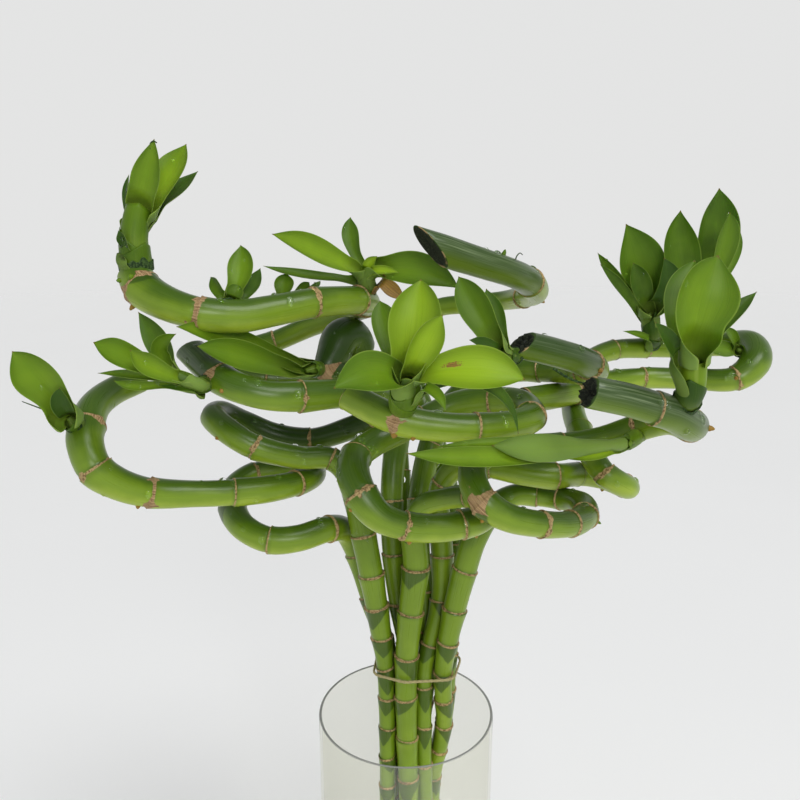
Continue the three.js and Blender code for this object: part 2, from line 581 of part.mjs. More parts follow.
// The straight lower stem of a cane, swollen by the gap and run through the water's whole depth
function stemHole(cane) {
  const foot = cane.route[0];
  const top = cane.route[1];
  const traced = trace([[foot[0], foot[1], foot[2] - 2, foot[3]], top]);
  const widest = Math.max(foot[3], top[3]) / 2 * (1 + RING_FLARE) + GAP;
  return bentTurning(traced, [[0, widest], [traced.length, widest]], CANE_SIDES);
}

// The band round the bunch: the outline that a string pulled tight round the stems would take
function hull(points) {
  const cross = (o, a, b) => (a.x - o.x) * (b.y - o.y) - (a.y - o.y) * (b.x - o.x);
  const chain = (list) => {
    const kept = [];
    for (const point of list) {
      while (kept.length > 1 && cross(kept.at(-2), kept.at(-1), point) <= 0) kept.pop();
      kept.push(point);
    }
    return kept.slice(0, -1);
  };
  const sorted = [...points].sort((a, b) => a.x - b.x || a.y - b.y);
  return [...chain(sorted), ...chain(sorted.reverse())];
}

function stemOutline(offset) {
  const points = [];
  for (const { route } of canes) {
    const [x, y, , diameter] = route.find(([, , z]) => z === TIE_HEIGHT);
    for (let i = 0; i < TIE_SIDES; i += 1) {
      const angle = i / TIE_SIDES * 2 * Math.PI;
      const reach = diameter / 2 * (1 + RING_FLARE) + offset;
      points.push(new THREE.Vector2(x + reach * Math.cos(angle), y + reach * Math.sin(angle)));
    }
  }
  return hull(points);
}

function tieGeometry() {
  const band = new THREE.Shape(stemOutline(3 * GAP + TIE_THICKNESS));
  band.holes.push(new THREE.Path(stemOutline(3 * GAP)));
  const drawn = { depth: TIE_WIDTH, bevelEnabled: false, curveSegments: 1 };
  const geometry = new THREE.ExtrudeGeometry(band, drawn);
  geometry.translate(0, 0, TIE_HEIGHT - TIE_WIDTH / 2);
  return closed(geometry);
}

// The whole plant in its vase
const plant = new THREE.Group();

function addPiece(name, geometry, finish) {
  const mesh = new THREE.Mesh(geometry, new THREE.MeshStandardMaterial(finish));
  mesh.name = name;
  plant.add(mesh);
}

addPiece('vase', vaseGeometry(), GLASS);
addPiece('water', waterGeometry(), WATER);
addPiece('tie_band', tieGeometry(), RAFFIA);
for (const cane of canes) addPiece(cane.name, caneGeometry(cane), CANE_GREEN);
for (const shoot of shoots) addPiece(shoot.name, shootGeometry(shoot), LEAF_GREEN);

export default plant;
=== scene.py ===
"""Lucky bamboo in a glass vase: nine trained canes with leafy shoots, tied once and standing in water.

Its pieces lie over the solids of the frame and stand for them. Lengths are in millimetres unless
metres are named, with +Z up, +X to the right and +Y away from the viewer, and build() turns them
into metres.
"""

import math

import bpy
import numpy as np
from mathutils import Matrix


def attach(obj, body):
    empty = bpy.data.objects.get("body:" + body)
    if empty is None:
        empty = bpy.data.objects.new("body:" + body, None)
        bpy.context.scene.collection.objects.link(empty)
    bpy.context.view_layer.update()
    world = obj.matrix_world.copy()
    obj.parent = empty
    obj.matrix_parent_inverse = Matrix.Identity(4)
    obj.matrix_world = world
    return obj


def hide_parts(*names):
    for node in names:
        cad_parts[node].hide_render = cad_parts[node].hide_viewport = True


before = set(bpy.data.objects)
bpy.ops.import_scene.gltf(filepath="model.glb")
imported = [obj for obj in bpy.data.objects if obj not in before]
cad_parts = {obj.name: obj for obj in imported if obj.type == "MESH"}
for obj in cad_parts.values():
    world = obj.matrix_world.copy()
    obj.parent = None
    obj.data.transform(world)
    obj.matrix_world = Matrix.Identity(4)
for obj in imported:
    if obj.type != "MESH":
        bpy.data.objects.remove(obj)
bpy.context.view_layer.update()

# Camera
# It stands a little lower than the topmost leaves, 0.4 m in front of the vase, and looks slightly
# down with a mild wide lens, so that the vase's rim shows as the same flat oval as in the photo.
# Its place is in metres.
CAMERA_PLACE = (-0.0034, -0.4065, 0.5354)
CAMERA_TILT = 13.97


def put_in_scene(name, data):
    """A new object of this data in the scene."""
    added = bpy.data.objects.new(name, data)
    bpy.context.scene.collection.objects.link(added)
    return added


camera_data = bpy.data.cameras.new("camera")
camera_data.sensor_width = 36
camera_data.lens = 36
camera_data.clip_start = 0.01
camera = put_in_scene("camera", camera_data)
camera.location = CAMERA_PLACE
camera.rotation_euler = (math.radians(90 - CAMERA_TILT), 0, 0)
bpy.context.scene.camera = camera
bpy.context.scene.view_settings.view_transform = "Standard"

# Light
# A bright white room that is dimmer overhead, a broad soft lamp high on the right, and a large
# window-like panel in front of the plant that draws the long highlights along the canes. Places and
# sizes of lamps are in metres.
ROOM_WHITE = (0.775, 0.778, 0.775, 1)
ROOM_CEILING = (0.30, 0.305, 0.31, 1)
DIM_FROM, DIM_TO = 0.26, 0.7
SUN_SPREAD = 30
WINDOW_WIDTH, WINDOW_HEIGHT = 0.7, 0.5
world = bpy.data.worlds.new("pale_room")
world.use_nodes = True
room = world.node_tree.nodes
heights = room.new("ShaderNodeSeparateXYZ")
fade = room.new("ShaderNodeMapRange")
blend = room.new("ShaderNodeMix")
blend.data_type = "RGBA"
blend.inputs[6].default_value = ROOM_WHITE
blend.inputs[7].default_value = ROOM_CEILING
fade.interpolation_type = "SMOOTHSTEP"
fade.inputs["From Min"].default_value = DIM_FROM
fade.inputs["From Max"].default_value = DIM_TO
for start, end in ((room.new("ShaderNodeTexCoord").outputs["Generated"], heights.inputs[0]),
                   (heights.outputs[2], fade.inputs["Value"]), (fade.outputs[0], blend.inputs[0]),
                   (blend.outputs[2], room["Background"].inputs["Color"])):
    world.node_tree.links.new(start, end)
bpy.context.scene.world = world


def lamp(name, kind, place, aim, strength, **settings):
    """A lamp at a place in metres, turned so that it shines towards aim: its tilt is the angle of
    the line from aim to it off the upright, and its turn is that line's angle round the upright."""
    data = bpy.data.lights.new(name, kind)
    data.energy = strength
    for key, value in settings.items():
        setattr(data, key, value)
    lamp_object = put_in_scene(name, data)
    lamp_object.location = place
    heading = np.array(place) - np.array(aim)
    flat = math.hypot(heading[0], heading[1])
    lamp_object.rotation_euler = (
        math.atan2(flat, heading[2]), 0, math.atan2(heading[1], heading[0]) + math.pi / 2)


lamp("ceiling_light", "SUN", (1.1, -0.9, 2.6), (0, 0, 0.4), 1.35, angle=math.radians(SUN_SPREAD))
lamp("window", "AREA", (0.4, -1.7, 1.25), (0, 0, 0.42), 11, shape="RECTANGLE", size=WINDOW_WIDTH,
     size_y=WINDOW_HEIGHT)


# Vase
# A straight clear glass cylinder with a thick floor and a fire-rounded rim. It is turned here from
# one outline, and it stands for the plainer solid of the frame.
MILLIMETRE = 0.001


def grid(points, loop=False, along=None, **values):
    """A closed tube from rows of points round it: faces join neighbours in a row and from row to
    row, the first and last rows are filled in, and loop joins them to each other instead. The UV map
    has the turn round the tube and the given distance along it. Values become point attributes."""
    rows, columns = points.shape[:2]
    place = np.arange(rows * columns).reshape(rows, columns)
    if loop:
        place = np.vstack([place, place[:1]])
    here = place[:-1]
    above = place[1:]
    faces = np.stack([here, np.roll(here, -1, 1), np.roll(above, -1, 1), above], 2).reshape(-1, 4)
    turn = np.arange(columns + 1) / columns
    length = np.linspace(0, 1, len(place)) if along is None else np.append(along, along[:1])[:len(place)]
    low, left = np.meshgrid(length[:-1], turn[:-1], indexing="ij")
    high, right = np.meshgrid(length[1:], turn[1:], indexing="ij")
    corners = [(left, low), (right, low), (right, high), (left, high)]
    uv = np.stack([np.stack(corner, 2) for corner in corners], 2).reshape(-1, 2)
    caps = [] if loop else [place[0, ::-1].tolist(), place[-1].tolist()]
    spread = {key: np.broadcast_to(value, (rows, columns)).ravel() for key, value in values.items()}
    return {"points": points.reshape(-1, 3), "faces": faces, "uv": uv, "caps": caps, "values": spread}


def build(name, parts, material, slot, *nodes):
    """One smooth mesh object in metres from closed parts, which stands for the named frame nodes."""
    starts = np.cumsum([0] + [len(part["points"]) for part in parts])
    faces = [face for part, start in zip(parts, starts) for face in (part["faces"] + start).tolist()]
    uv = [part["uv"] for part in parts]
    for part, start in zip(parts, starts):
        for cap in part["caps"]:
            faces.append([corner + int(start) for corner in cap])
            uv.append(np.zeros((len(cap), 2)))
    mesh = bpy.data.meshes.new(name)
    points = np.concatenate([part["points"] for part in parts]) * MILLIMETRE
    mesh.from_pydata(points.tolist(), [], faces)
    mesh.uv_layers.new(name="UVMap").data.foreach_set("uv", np.concatenate(uv).ravel())
    for key in parts[0]["values"]:
        values = np.concatenate([part["values"][key] for part in parts])
        mesh.attributes.new(key, "FLOAT", "POINT").data.foreach_set("value", values.astype(np.float32))
    mesh.shade_smooth()
    mesh.materials.append(material)
    piece = put_in_scene(name, mesh)
    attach(piece, "root")
    if nodes:
        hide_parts(*nodes)


class Field:
    """A number or a colour that varies over a finish, with plain arithmetic on the numbers."""

    def __init__(self, paint, socket):
        self.paint = paint
        self.socket = socket

    def __add__(self, other):
        return self.paint.sum("ADD", self, other)

    def __sub__(self, other):
        return self.paint.sum("SUBTRACT", self, other)

    def __mul__(self, other):
        return self.paint.sum("MULTIPLY", self, other)

    def __pow__(self, other):
        return self.paint.sum("POWER", self, other)

    def __abs__(self):
        return self.paint.sum("ABSOLUTE", self)


class Paint:
    """A procedural material, with short ways to add nodes to it. A socket takes a number, a colour,
    a field, a node or another node's output."""

    def __init__(self, name):
        self.material = bpy.data.materials.new(name)
        self.material.use_nodes = True
        self.tree = self.material.node_tree
        self.shader = self.tree.nodes["Principled BSDF"]

    def put(self, socket, value):
        """Links a field or a node to a socket, or sets the socket's own value."""
        if isinstance(value, bpy.types.Node):
            value = value.outputs[0]
        value = getattr(value, "socket", value)
        if isinstance(value, bpy.types.NodeSocket):
            self.tree.links.new(value, socket)
        elif socket.type == "RGBA":
            socket.default_value = (*value, 1)
        else:
            socket.default_value = value

    def add(self, kind, inputs=None, **settings):
        """A new node with its settings and inputs."""
        node = self.tree.nodes.new("ShaderNode" + kind)
        for key, value in settings.items():
            setattr(node, key, value)
        for key, value in (inputs or {}).items():
            self.put(node.inputs[key], value)
        return node

    def field(self, kind, inputs, output=0, **settings):
        """The field that a new node gives."""
        return Field(self, self.add(kind, inputs, **settings).outputs[output])

    def finish(self, **inputs):
        """Sets the shader's sockets, named with _ for a space."""
        for key, value in inputs.items():
            self.put(self.shader.inputs[key.replace("_", " ")], value)
        return self.material

    def surface(self, shader):
        """Puts another shader in the place of the usual one."""
        self.put(self.tree.nodes["Material Output"].inputs["Surface"], shader)
        return self.material

    def sum(self, operation, *values):
        """One step of arithmetic."""
        return self.field("Math", dict(enumerate(values)), operation=operation)

    def fade(self, value, low, high):
        """0 below low, 1 above high, and smooth between them. With high below low it falls instead."""
        inputs = {"Value": value, "From Min": low, "From Max": high}
        return self.field("MapRange", inputs, interpolation_type="SMOOTHSTEP")

    def mix(self, share, one, other):
        """One colour at share 0, the other at share 1."""
        return self.field("Mix", {0: share, 6: one, 7: other}, 2, data_type="RGBA")

    def layers(self, colour, *others):
        """A colour with others laid over it in turn. Each is a colour, a field, the two values of the
        field between which the colour comes in, and, where it isn't 1, its greatest share."""
        for other, field, low, high, *greatest in others:
            share = self.fade(field, low, high)
            colour = self.mix(share * greatest[0] if greatest else share, colour, other)
        return colour

    def read(self, name):
        """A point attribute of the mesh."""
        return self.field("Attribute", {}, "Fac", attribute_name=name)

    def noise(self, scale, detail=2, roughness=0.5, place=None):
        """Soft random numbers from about 0.3 to 0.7, over the piece's own places or others."""
        inputs = {"Vector": self.place() if place is None else place, "Scale": scale}
        return self.field("TexNoise", {**inputs, "Detail": detail, "Roughness": roughness})

    def place(self, name="Object"):
        """Texture coordinates."""
        return self.field("TexCoord", {}, name)

    def split(self, place):
        """The three numbers of a place or a direction."""
        return [Field(self, part) for part in self.add("SeparateXYZ", {0: place}).outputs]

    def stretch(self, place, scale, turn=0.0):
        """A place whose numbers are each multiplied by its own number, and turned in the flat."""
        return self.add("Mapping", {"Vector": place, "Scale": scale, "Rotation": (0, 0, turn)})

    def bump(self, height, strength, distance=0.0003):
        """A relief from a height, as deep as distance in metres."""
        return self.add("Bump", {"Height": height, "Strength": strength, "Distance": distance})


def arc(radius, middle, start, end, steps=6):
    """Points of radius and height on an arc round a middle, from angle to angle in degrees."""
    angle = np.radians(np.linspace(start, end, steps))
    return np.stack([middle[0] + radius * np.cos(angle), middle[1] + radius * np.sin(angle)], 1)


def round_angles(sides):
    """Equal angles once round, without the repeated last one."""
    return np.linspace(0, 2 * np.pi, sides, endpoint=False)


def turning(outline, sides=96):
    """A turned surface: each point of radius and height goes once round the upright axis."""
    angle = round_angles(sides)
    radius, height = np.asarray(outline, float).T[..., None]
    return np.stack([radius * np.cos(angle), radius * np.sin(angle), height + 0 * angle], 2)


VASE_RADIUS = 50
VASE_HEIGHT = 250
VASE_WALL = 3
VASE_FLOOR = 6
VASE_HEEL = 2.5
HEEL_TOP, INNER_HEEL_TOP = 12, 20
TAPER_LOW, TAPER_HIGH = 30, 70
RIM_WALL = 1.6
LIP_FOOT = VASE_HEIGHT - 20
inner_radius = VASE_RADIUS - VASE_WALL
thin_radius = VASE_RADIUS - RIM_WALL
rim_middle = (VASE_RADIUS - RIM_WALL / 2, VASE_HEIGHT - RIM_WALL / 2)
vase_outline = np.concatenate([
    arc(VASE_HEEL, (VASE_RADIUS - VASE_HEEL, VASE_HEEL), -90, 0),
    [(VASE_RADIUS, HEEL_TOP), (VASE_RADIUS, LIP_FOOT)],
    arc(RIM_WALL / 2, rim_middle, 0, 180, 13),
    [(thin_radius, LIP_FOOT), (thin_radius, TAPER_HIGH), (inner_radius, TAPER_LOW)],
    [(inner_radius, INNER_HEEL_TOP)],
    arc(VASE_HEEL, (inner_radius - VASE_HEEL, VASE_FLOOR + VASE_HEEL), 0, -90),
])
GLASS_TINT = (0.90, 0.90, 0.855)
# A flat painted grey on the vase's round top edge: painted shade and highlight for that edge.
LIP_PAINTED_SHADE = (0.26, 0.265, 0.255)
LIP_DEPTH = 0.7
THIN_WALL_BEND = 1.001
# What is short of full clearness is a faint diffuse white veil: a painted sheen for the glass's
# reflections.
GLASS_CLEARNESS = 0.95


def clear(name, tint, bend, clearness=1, painted_lip=None):
    """A clear finish that lets the lamps shine through on what stands in it. Bend is its index of
    refraction. What is short of full clearness goes to a faint diffuse white veil, a painted sheen
    for the glass's pale reflections. A painted lip colour is a flat grey over the round edge at the
    top of the vase, painted shade and highlight for that edge, which sends light elsewhere."""
    paint = Paint(name)
    paint.finish(Base_Color=tint, Roughness=0.0, IOR=bend, Transmission_Weight=clearness)
    straight = paint.add("BsdfTransparent", {"Color": tint})
    shadow = paint.field("LightPath", {}, "Is Shadow Ray")
    both = paint.add("MixShader", {0: shadow, 1: paint.shader, 2: straight})
    # Painted shade and highlight: a flat grey over the top edge of the vase.
    if painted_lip:
        height = paint.split(paint.place())[2]
        edge = paint.fade(height, (VASE_HEIGHT - LIP_DEPTH) * MILLIMETRE, VASE_HEIGHT * MILLIMETRE)
        both = paint.add("MixShader", {0: edge, 1: both, 2: paint.add("BsdfDiffuse", {"Color": painted_lip})})
    return paint.surface(both)


glass = clear("vase_glass", GLASS_TINT, THIN_WALL_BEND, GLASS_CLEARNESS, LIP_PAINTED_SHADE)
build("glass_vase", [grid(turning(vase_outline))], glass, "glass", "vase")

# Water
# Still water a little under half the vase deep. It wets the glass, so it reaches into the wall by
# a hair, and its edge climbs the glass in a small curl.
WATER_TOP = 106
WET = 0.04
CURL = 0.5
CURL_REACH = 1.4
WATER_TINT = (0.97, 0.99, 0.975)
WATER_BEND = 1.2
curl_radius = thin_radius + WET - np.array([0, 0.2, 0.5, 1, 1.7, 2.6, 4, 6, 9])
water_outline = np.concatenate([
    [(inner_radius - VASE_HEEL, VASE_FLOOR - WET)],
    arc(VASE_HEEL + WET, (inner_radius - VASE_HEEL, VASE_FLOOR + VASE_HEEL), -80, 0),
    [(inner_radius + WET, HEEL_TOP), (inner_radius + WET, TAPER_LOW), (thin_radius + WET, TAPER_HIGH)],
    np.stack([curl_radius, WATER_TOP + CURL * np.exp((curl_radius - thin_radius) / CURL_REACH)], 1),
])
water = clear("still_water", WATER_TINT, WATER_BEND)
build("still_water", [grid(turning(water_outline))], water, "water", "water")

# Canes
# Nine stems of one plant, trained round a former while they grew and cut off above the last shoot.
# Each is smooth and green, with a thin tan ring where each old leaf was, and stands in the water on
# its cut foot.

# A route is points of x, y, z and diameter, some with the kind of ring there: RING is plain, RUST
# is broad and brown, and STAR still has the old leaf's papery base. The pitch is the distance
# between the plain rings down the straight stem. The tone is the cane's green in equal steps from
# its foot to its end, from 0, light, to 1, deep: partly the cane's own green and partly painted
# shade, deeper on stretches that lie in the shade of others. A waxy bloom runs from the last ring
# to the end for a waxy of 1, from the last but one for 2 and so on, and only dulls the end for 0,
# with streaks as strong as pale says, which are partly a painted sheen where the skin faces up. The
# end is cut in a plane that leans as cut says and is torn as deep as fray says, or it closes in a
# dome of the given height.
RING, RUST, STAR = 1, 2, 3
TIE_HEIGHT = 281
CANE_FOOT = 6.3
canes = {
    "cane_left_outer": {
        "pitch": 26, "waxy": 0, "tone": (0.3, 0.3, 0.3, 0.35, 0.3, 0.3, 0.8), "pale": 0.1,
        "route": [
            (-10.5, 2.5, CANE_FOOT, 8.8), (-10.5, 2.5, 130, 9), (-10.3, 4.2, TIE_HEIGHT, 10),
            (-19, 7, 313, 11.5), (-28, 13, 342, 12.5, RING), (-34, 9, 357, 13.5),
            (-42, -5, 364, 14, RING), (-57, -14, 362.5, 13.8), (-72, -16, 362.5, 13.8, RING),
            (-86, -10, 366.5, 14), (-96, 8, 371, 14.5, RING), (-98, 27, 376, 14),
            (-88, 39, 380, 13.5, RUST), (-69, 42, 382, 13), (-55, 33, 385, 13), (-52, 16, 387, 13),
            (-60, 0, 388, 13.5, RING), (-72, -11, 389, 14), (-89, -19, 390, 13.5, RING),
            (-107, -26, 392, 13.5), (-127, -35, 396, 14.5, STAR), (-140, -43, 404, 15.5),
            (-148, -46, 412, 16.5, RUST), (-154, -40, 423, 17), (-156, -31, 429, 16.5, STAR),
            (-157, -17, 435, 15.5), (-153, 0, 439, 14.5), (-144, 14, 442, 14)]},
    "cane_left_inner": {
        "pitch": 19.3, "waxy": 5, "tone": (0.5, 0.5, 0.6, 0.7, 0.6, 0.9), "pale": 0, "dome": 9,
        "route": [
            (-11, -8, CANE_FOOT, 8.4), (-11, -8, 130, 8.6), (-11.6, -7.5, TIE_HEIGHT, 9.3),
            (-15, -9, 312, 12), (-19, -10, 340, 13, RING), (-23, -8, 362, 13, RING), (-27, -3, 379, 13),
            (-32, 4, 392, 12.5, RING), (-41, 6, 400, 12, RING), (-57, 2, 402, 12.3),
            (-80, -3, 409.5, 13, RUST), (-94, 0, 417, 13.5), (-104.5, 12, 421.5, 13, RING),
            (-104, 30, 420, 12.5), (-94, 42, 411, 12.5), (-77, 46, 402, 13), (-56, 46, 399, 13, RUST),
            (-36, 46, 404.5, 13.5), (-21, 48, 411, 13.5, RING), (-17, 44, 422, 14), (-23, 34, 434, 14),
            (-34, 24, 442, 15, RING), (-42, 20, 447, 15, STAR), (-39.5, 26.5, 455, 19),
            (-36, 32, 461.5, 21), (-31, 37, 462, 21), (-27.5, 40, 455, 20), (-27, 41, 446, 18)]},
    "cane_left_middle": {
        "pitch": 24, "waxy": 1, "tone": (0.4, 0.4, 0.5, 0.8, 1.1, 1),
        "pale": 0.3, "cut": (0, 0, 0.7), "fray": 0.9,
        "route": [
            (0.8, 2.5, CANE_FOOT, 8.8), (0.8, 2.5, 130, 9), (1.2, 2.3, TIE_HEIGHT, 10),
            (-4, 6, 315, 11.5, RING), (-7, 6, 345, 12.5, RING), (-8, 9, 375, 12.5, RING),
            (-7, 15, 393, 12.5), (-5, 21, 408, 13, RING), (-6, 17, 424, 13), (-16, 1, 436, 13.5),
            (-32, -18, 442, 14.5, RING), (-52, -32, 444, 15, RUST), (-67, -38, 446, 14),
            (-81, -37, 450, 14), (-90, -31, 453, 14.5, STAR), (-101, -18, 458, 15), (-109, -8, 462, 15)]},
    "cane_front": {
        "pitch": 26.5, "waxy": 0, "tone": (0.25, 0.25, 0.25, 0.25, 0.3, 0.6, 0.35, 1, 0.7, 0.25, 0.2),
        "pale": 0.3,
        "route": [
            (3.5, -10, CANE_FOOT, 10), (3.5, -10, 130, 10.2), (0, -11, TIE_HEIGHT, 12.2),
            (2, -12, 315, 13.2), (5, -11, 345, 14, RING), (4, -10, 369, 13.5, RING),
            (9, -14, 381, 11.5), (19, -18, 386, 11), (31, -27, 391, 11, RING), (38, -38, 392, 12),
            (36, -51, 390, 13), (25, -59, 389, 13.2, RING), (11, -64, 389.5, 13.2),
            (-2, -68, 392.5, 13, RUST), (-13, -70, 398, 14), (-21, -67, 407, 15, RUST),
            (-25, -58, 414, 15.5), (-24, -45, 418, 14.5, RING), (-16, -33, 421, 13.5),
            (-4, -26, 425, 13), (9, -20, 430, 12.5, RING), (25, -16, 436, 13), (42, -19, 439, 13, RING),
            (55, -29, 440, 13.5), (58, -44, 437, 14, RING), (46, -58, 437, 13),
            (30, -66, 438, 13, RING), (10, -70, 440, 13), (-5, -70, 443, 13.5, STAR),
            (-16, -66, 447, 13.5), (-26, -60, 451, 13.5)]},
    "cane_centre": {
        "pitch": 23, "waxy": 1, "tone": (0.5, 0.5, 0.5, 0.6, 0.7, 0.7),
        "pale": 0.4, "cut": (0, 0, 1), "fray": 0.9,
        "route": [
            (7.5, 11.5, CANE_FOOT, 8.5), (7.5, 11.5, 130, 8.6), (7.8, 11.3, 200, 8.8),
            (12.8, 6.2, TIE_HEIGHT, 9.5), (10.5, 13, 318, 11, RING), (7.5, 20, 343, 12.5),
            (8, 28, 368, 13.5, RING), (15, 43, 397, 13.5, RING), (26, 52, 418, 13.5),
            (44, 55, 433, 13.5, RING), (66, 48, 440, 13), (77, 43, 441, 13, RING), (89, 30, 443, 12.5),
            (96, 14, 446, 13, RING), (97, -4, 451, 13.5), (90, -19, 457, 14, RUST),
            (79, -32, 463, 13.8), (62, -42, 469, 13.5), (52, -47, 472, 13)]},
    "cane_right_low": {
        "pitch": 19.8, "waxy": 2, "tone": (0, 0, 0, 0.1, 0.3, 0.6, 0.65, 0.5, 0.5, 0.9, 0.9),
        "pale": 1.0, "fray": 1.0,
        "route": [
            (16, 5, CANE_FOOT, 8.6), (16, 5, 130, 8.8), (16.5, 4.5, 200, 9), (22, -1, 240, 9.5),
            (20.8, -9, TIE_HEIGHT, 10), (26.5, -9.5, 319, 12.5, RING), (31.5, -10, 343, 13.5, RING),
            (37, -8, 361, 13.5), (46, 0, 373, 13.5, RING), (59, 6, 379, 12), (72, 8, 378, 11.5, RING),
            (84, 1, 379, 12, RING), (91, -15, 382, 13), (88, -36, 384, 12.8, RING),
            (77, -53, 387, 12.3, RING), (61, -64, 391.5, 12.3, RUST), (44, -71, 398, 12.8),
            (34, -71, 405, 13.5, STAR), (30, -61, 411, 13.5), (32, -47, 415, 13),
            (42, -36, 418, 12.2, RING), (58, -30, 418, 12.5), (77, -28, 418, 12.5, RING),
            (95, -28, 421, 12.5), (112, -32, 428, 13, RUST), (123, -42, 435, 14),
            (128, -58, 437, 14.5, RUST), (121, -73, 442, 14.5), (110, -82, 449, 14.2),
            (102, -84.5, 452, 14, RING), (90, -87, 456, 13.8), (74, -90, 460, 13.5)]},
    "cane_far_right": {
        "pitch": 25.5, "waxy": 0, "tone": (0.3, 0.3, 0.3, 0.1, 0, -0.1, 0.1, -0.1, 0.95, -0.2, 0),
        "pale": 0.3,
        "route": [
            (13, -5, CANE_FOOT, 8), (13, -5, 130, 8.2), (10.8, -5, TIE_HEIGHT, 9),
            (14.5, -2.5, 298, 9.8), (19.5, 2.5, 318, 11.3, RING), (20, 4, 345, 12.5, RING),
            (18, 8, 371, 12), (20, 9, 385, 12, RING), (29, 8, 395, 12.5), (45, 3, 397, 13.5, RING),
            (63, -2, 395, 14), (79, -2, 393, 14, RING), (94, 9, 390, 12.5, RING), (108, 12, 387, 12),
            (118, 2, 386, 12.5, RUST), (114, -12, 391, 12.5), (102, -15, 399, 12.5, RING),
            (98, 0, 405, 13), (97, 24, 411, 13.5, RING), (99, 52, 416, 13), (103, 73, 425, 12.5, RING),
            (116, 91, 437, 12), (135, 103, 442, 12.5, RING), (158, 110, 442, 12.5, RUST),
            (186, 112, 442, 13), (206, 104, 446, 15, RUST), (215, 86, 448, 18), (211, 68, 441, 18),
            (197, 62, 432, 14.5, RUST), (174, 71, 430, 12.5), (145, 73, 430, 12.5, RUST),
            (116, 60, 430, 12.5), (97, 44, 428, 14, RING), (79, 28, 429, 14.5), (64, 17, 430, 14)]},
    "cane_top": {
        "pitch": 25, "waxy": 1, "tone": (0.7, 0.6, 0.5, 0.5, 0.3, 0.3),
        "pale": 0.8, "cut": (0.1, -0.2, -0.95),
        "route": [
            (17, 16.5, CANE_FOOT, 8.4), (17, 16.5, 130, 8.6), (17.5, 16, 200, 8.8),
            (23.5, 10.5, 240, 9.3), (24.2, 3.5, TIE_HEIGHT, 10), (27, 11, 308, 11, RING),
            (28, 25, 341, 12, RING), (24, 48, 373, 12.5, RING), (12, 78, 408, 12.5, RING),
            (1, 98, 438, 12), (-1, 111, 457, 12, RING), (22, 114, 468, 11.5),
            (42, 110, 471, 11.5, RING), (62, 102, 474, 12), (72, 80, 479, 13, RING), (74, 52, 485, 14),
            (66, 25, 493, 15, RING), (53, 4, 500, 14.5), (31, -8, 507.5, 15), (16.5, -14, 512.5, 15.5),
            (11.5, -15.6, 514, 15.5)]},
    "cane_top_left": {
        "pitch": 28, "waxy": 0, "tone": (0.5, 0.5, 0.5, 0.3, 0.3, 0.4), "pale": 0.3,
        "route": [
            (-4, 13.5, CANE_FOOT, 8.4), (-4, 13.5, 130, 8.6), (-3.6, 13.6, 200, 8.8),
            (3, 14.3, TIE_HEIGHT, 10), (1, 24, 318, 11.5, RING), (-2, 34, 347, 12, RING),
            (-4, 49, 378, 13, RING), (-8, 62, 402, 13.5, RING), (-18, 67, 420, 13.5),
            (-38, 61, 429, 13, RING), (-60, 55, 431, 13), (-81, 47, 433, 13, RING), (-97, 49, 437, 13),
            (-103, 57, 443, 13, RING), (-95, 65, 449, 12.5), (-78, 67, 454, 12.5, RING),
            (-57, 66, 463, 12.5), (-36, 56, 472, 13), (-22, 36, 480, 14, RUST),
            (-26, 12, 485, 14.5, RING), (-47, -8, 486, 15, RUST), (-63, -18, 484, 15.2),
            (-80, -26, 482, 15.5), (-98, -31, 484, 15.5, STAR), (-114, -28, 488.5, 16.5),
            (-127.5, -20.5, 495, 17.5, STAR), (-132, -15, 501, 17)]},
}
CANE_SIDES = 36
STEP = 1.7
RING_FLARE = 0.09
STEM_FLARE = 0.14
FOOT_CLEARANCE = 14
CUT_ROOM = 3
DENSE = 40
RING_STEPS = np.array([-3, -2, -1.3, -0.8, -0.45, -0.2, 0, 0.2, 0.45, 0.8, 1.3, 2, 3])
RING_TILT = (0.2, 0.7)
RIDGE, RIDGE_WIDTH = 0.22, 0.4
GROOVE, GROOVE_WIDTH, GROOVE_PLACE = 0.14, 0.5, 1
OVAL, THREE_SIDED = 0.008, 0.006
WEDGE_LENGTH = (10, 17)
WEDGE_WIDTH = 2.1
WEDGE_SPREAD = 1.1
WEDGES_ON_STEM, WEDGES_ON_CURL = 0.8, 0.12
NO_WEDGE = 0.01
FAR = 30.0
CUT_RUN = 30
CUT_EDGE = 0.03
WAX_RUN = 1.5
END_WAX = 0.3
PLAIN_FRAY = 0.25
DISH = np.array([1.0, 0.965, 0.86, 0.6, 0.3, 0.1])
DISH_DEPTH = np.array([0.15, 0.5, 0.6, 0.2, -0.3, -0.5])
DOME_BEND = np.radians([12, 25, 38, 50, 62, 74, 84])


def unit(vectors):
    """Vectors shortened or stretched to a length of one."""
    return vectors / np.linalg.norm(vectors, axis=-1, keepdims=True)


def smooth(value):
    """0 below 0, 1 above 1, and an S-shaped rise between them."""
    value = np.clip(value, 0, 1)
    return value ** 2 * (3 - 2 * value)


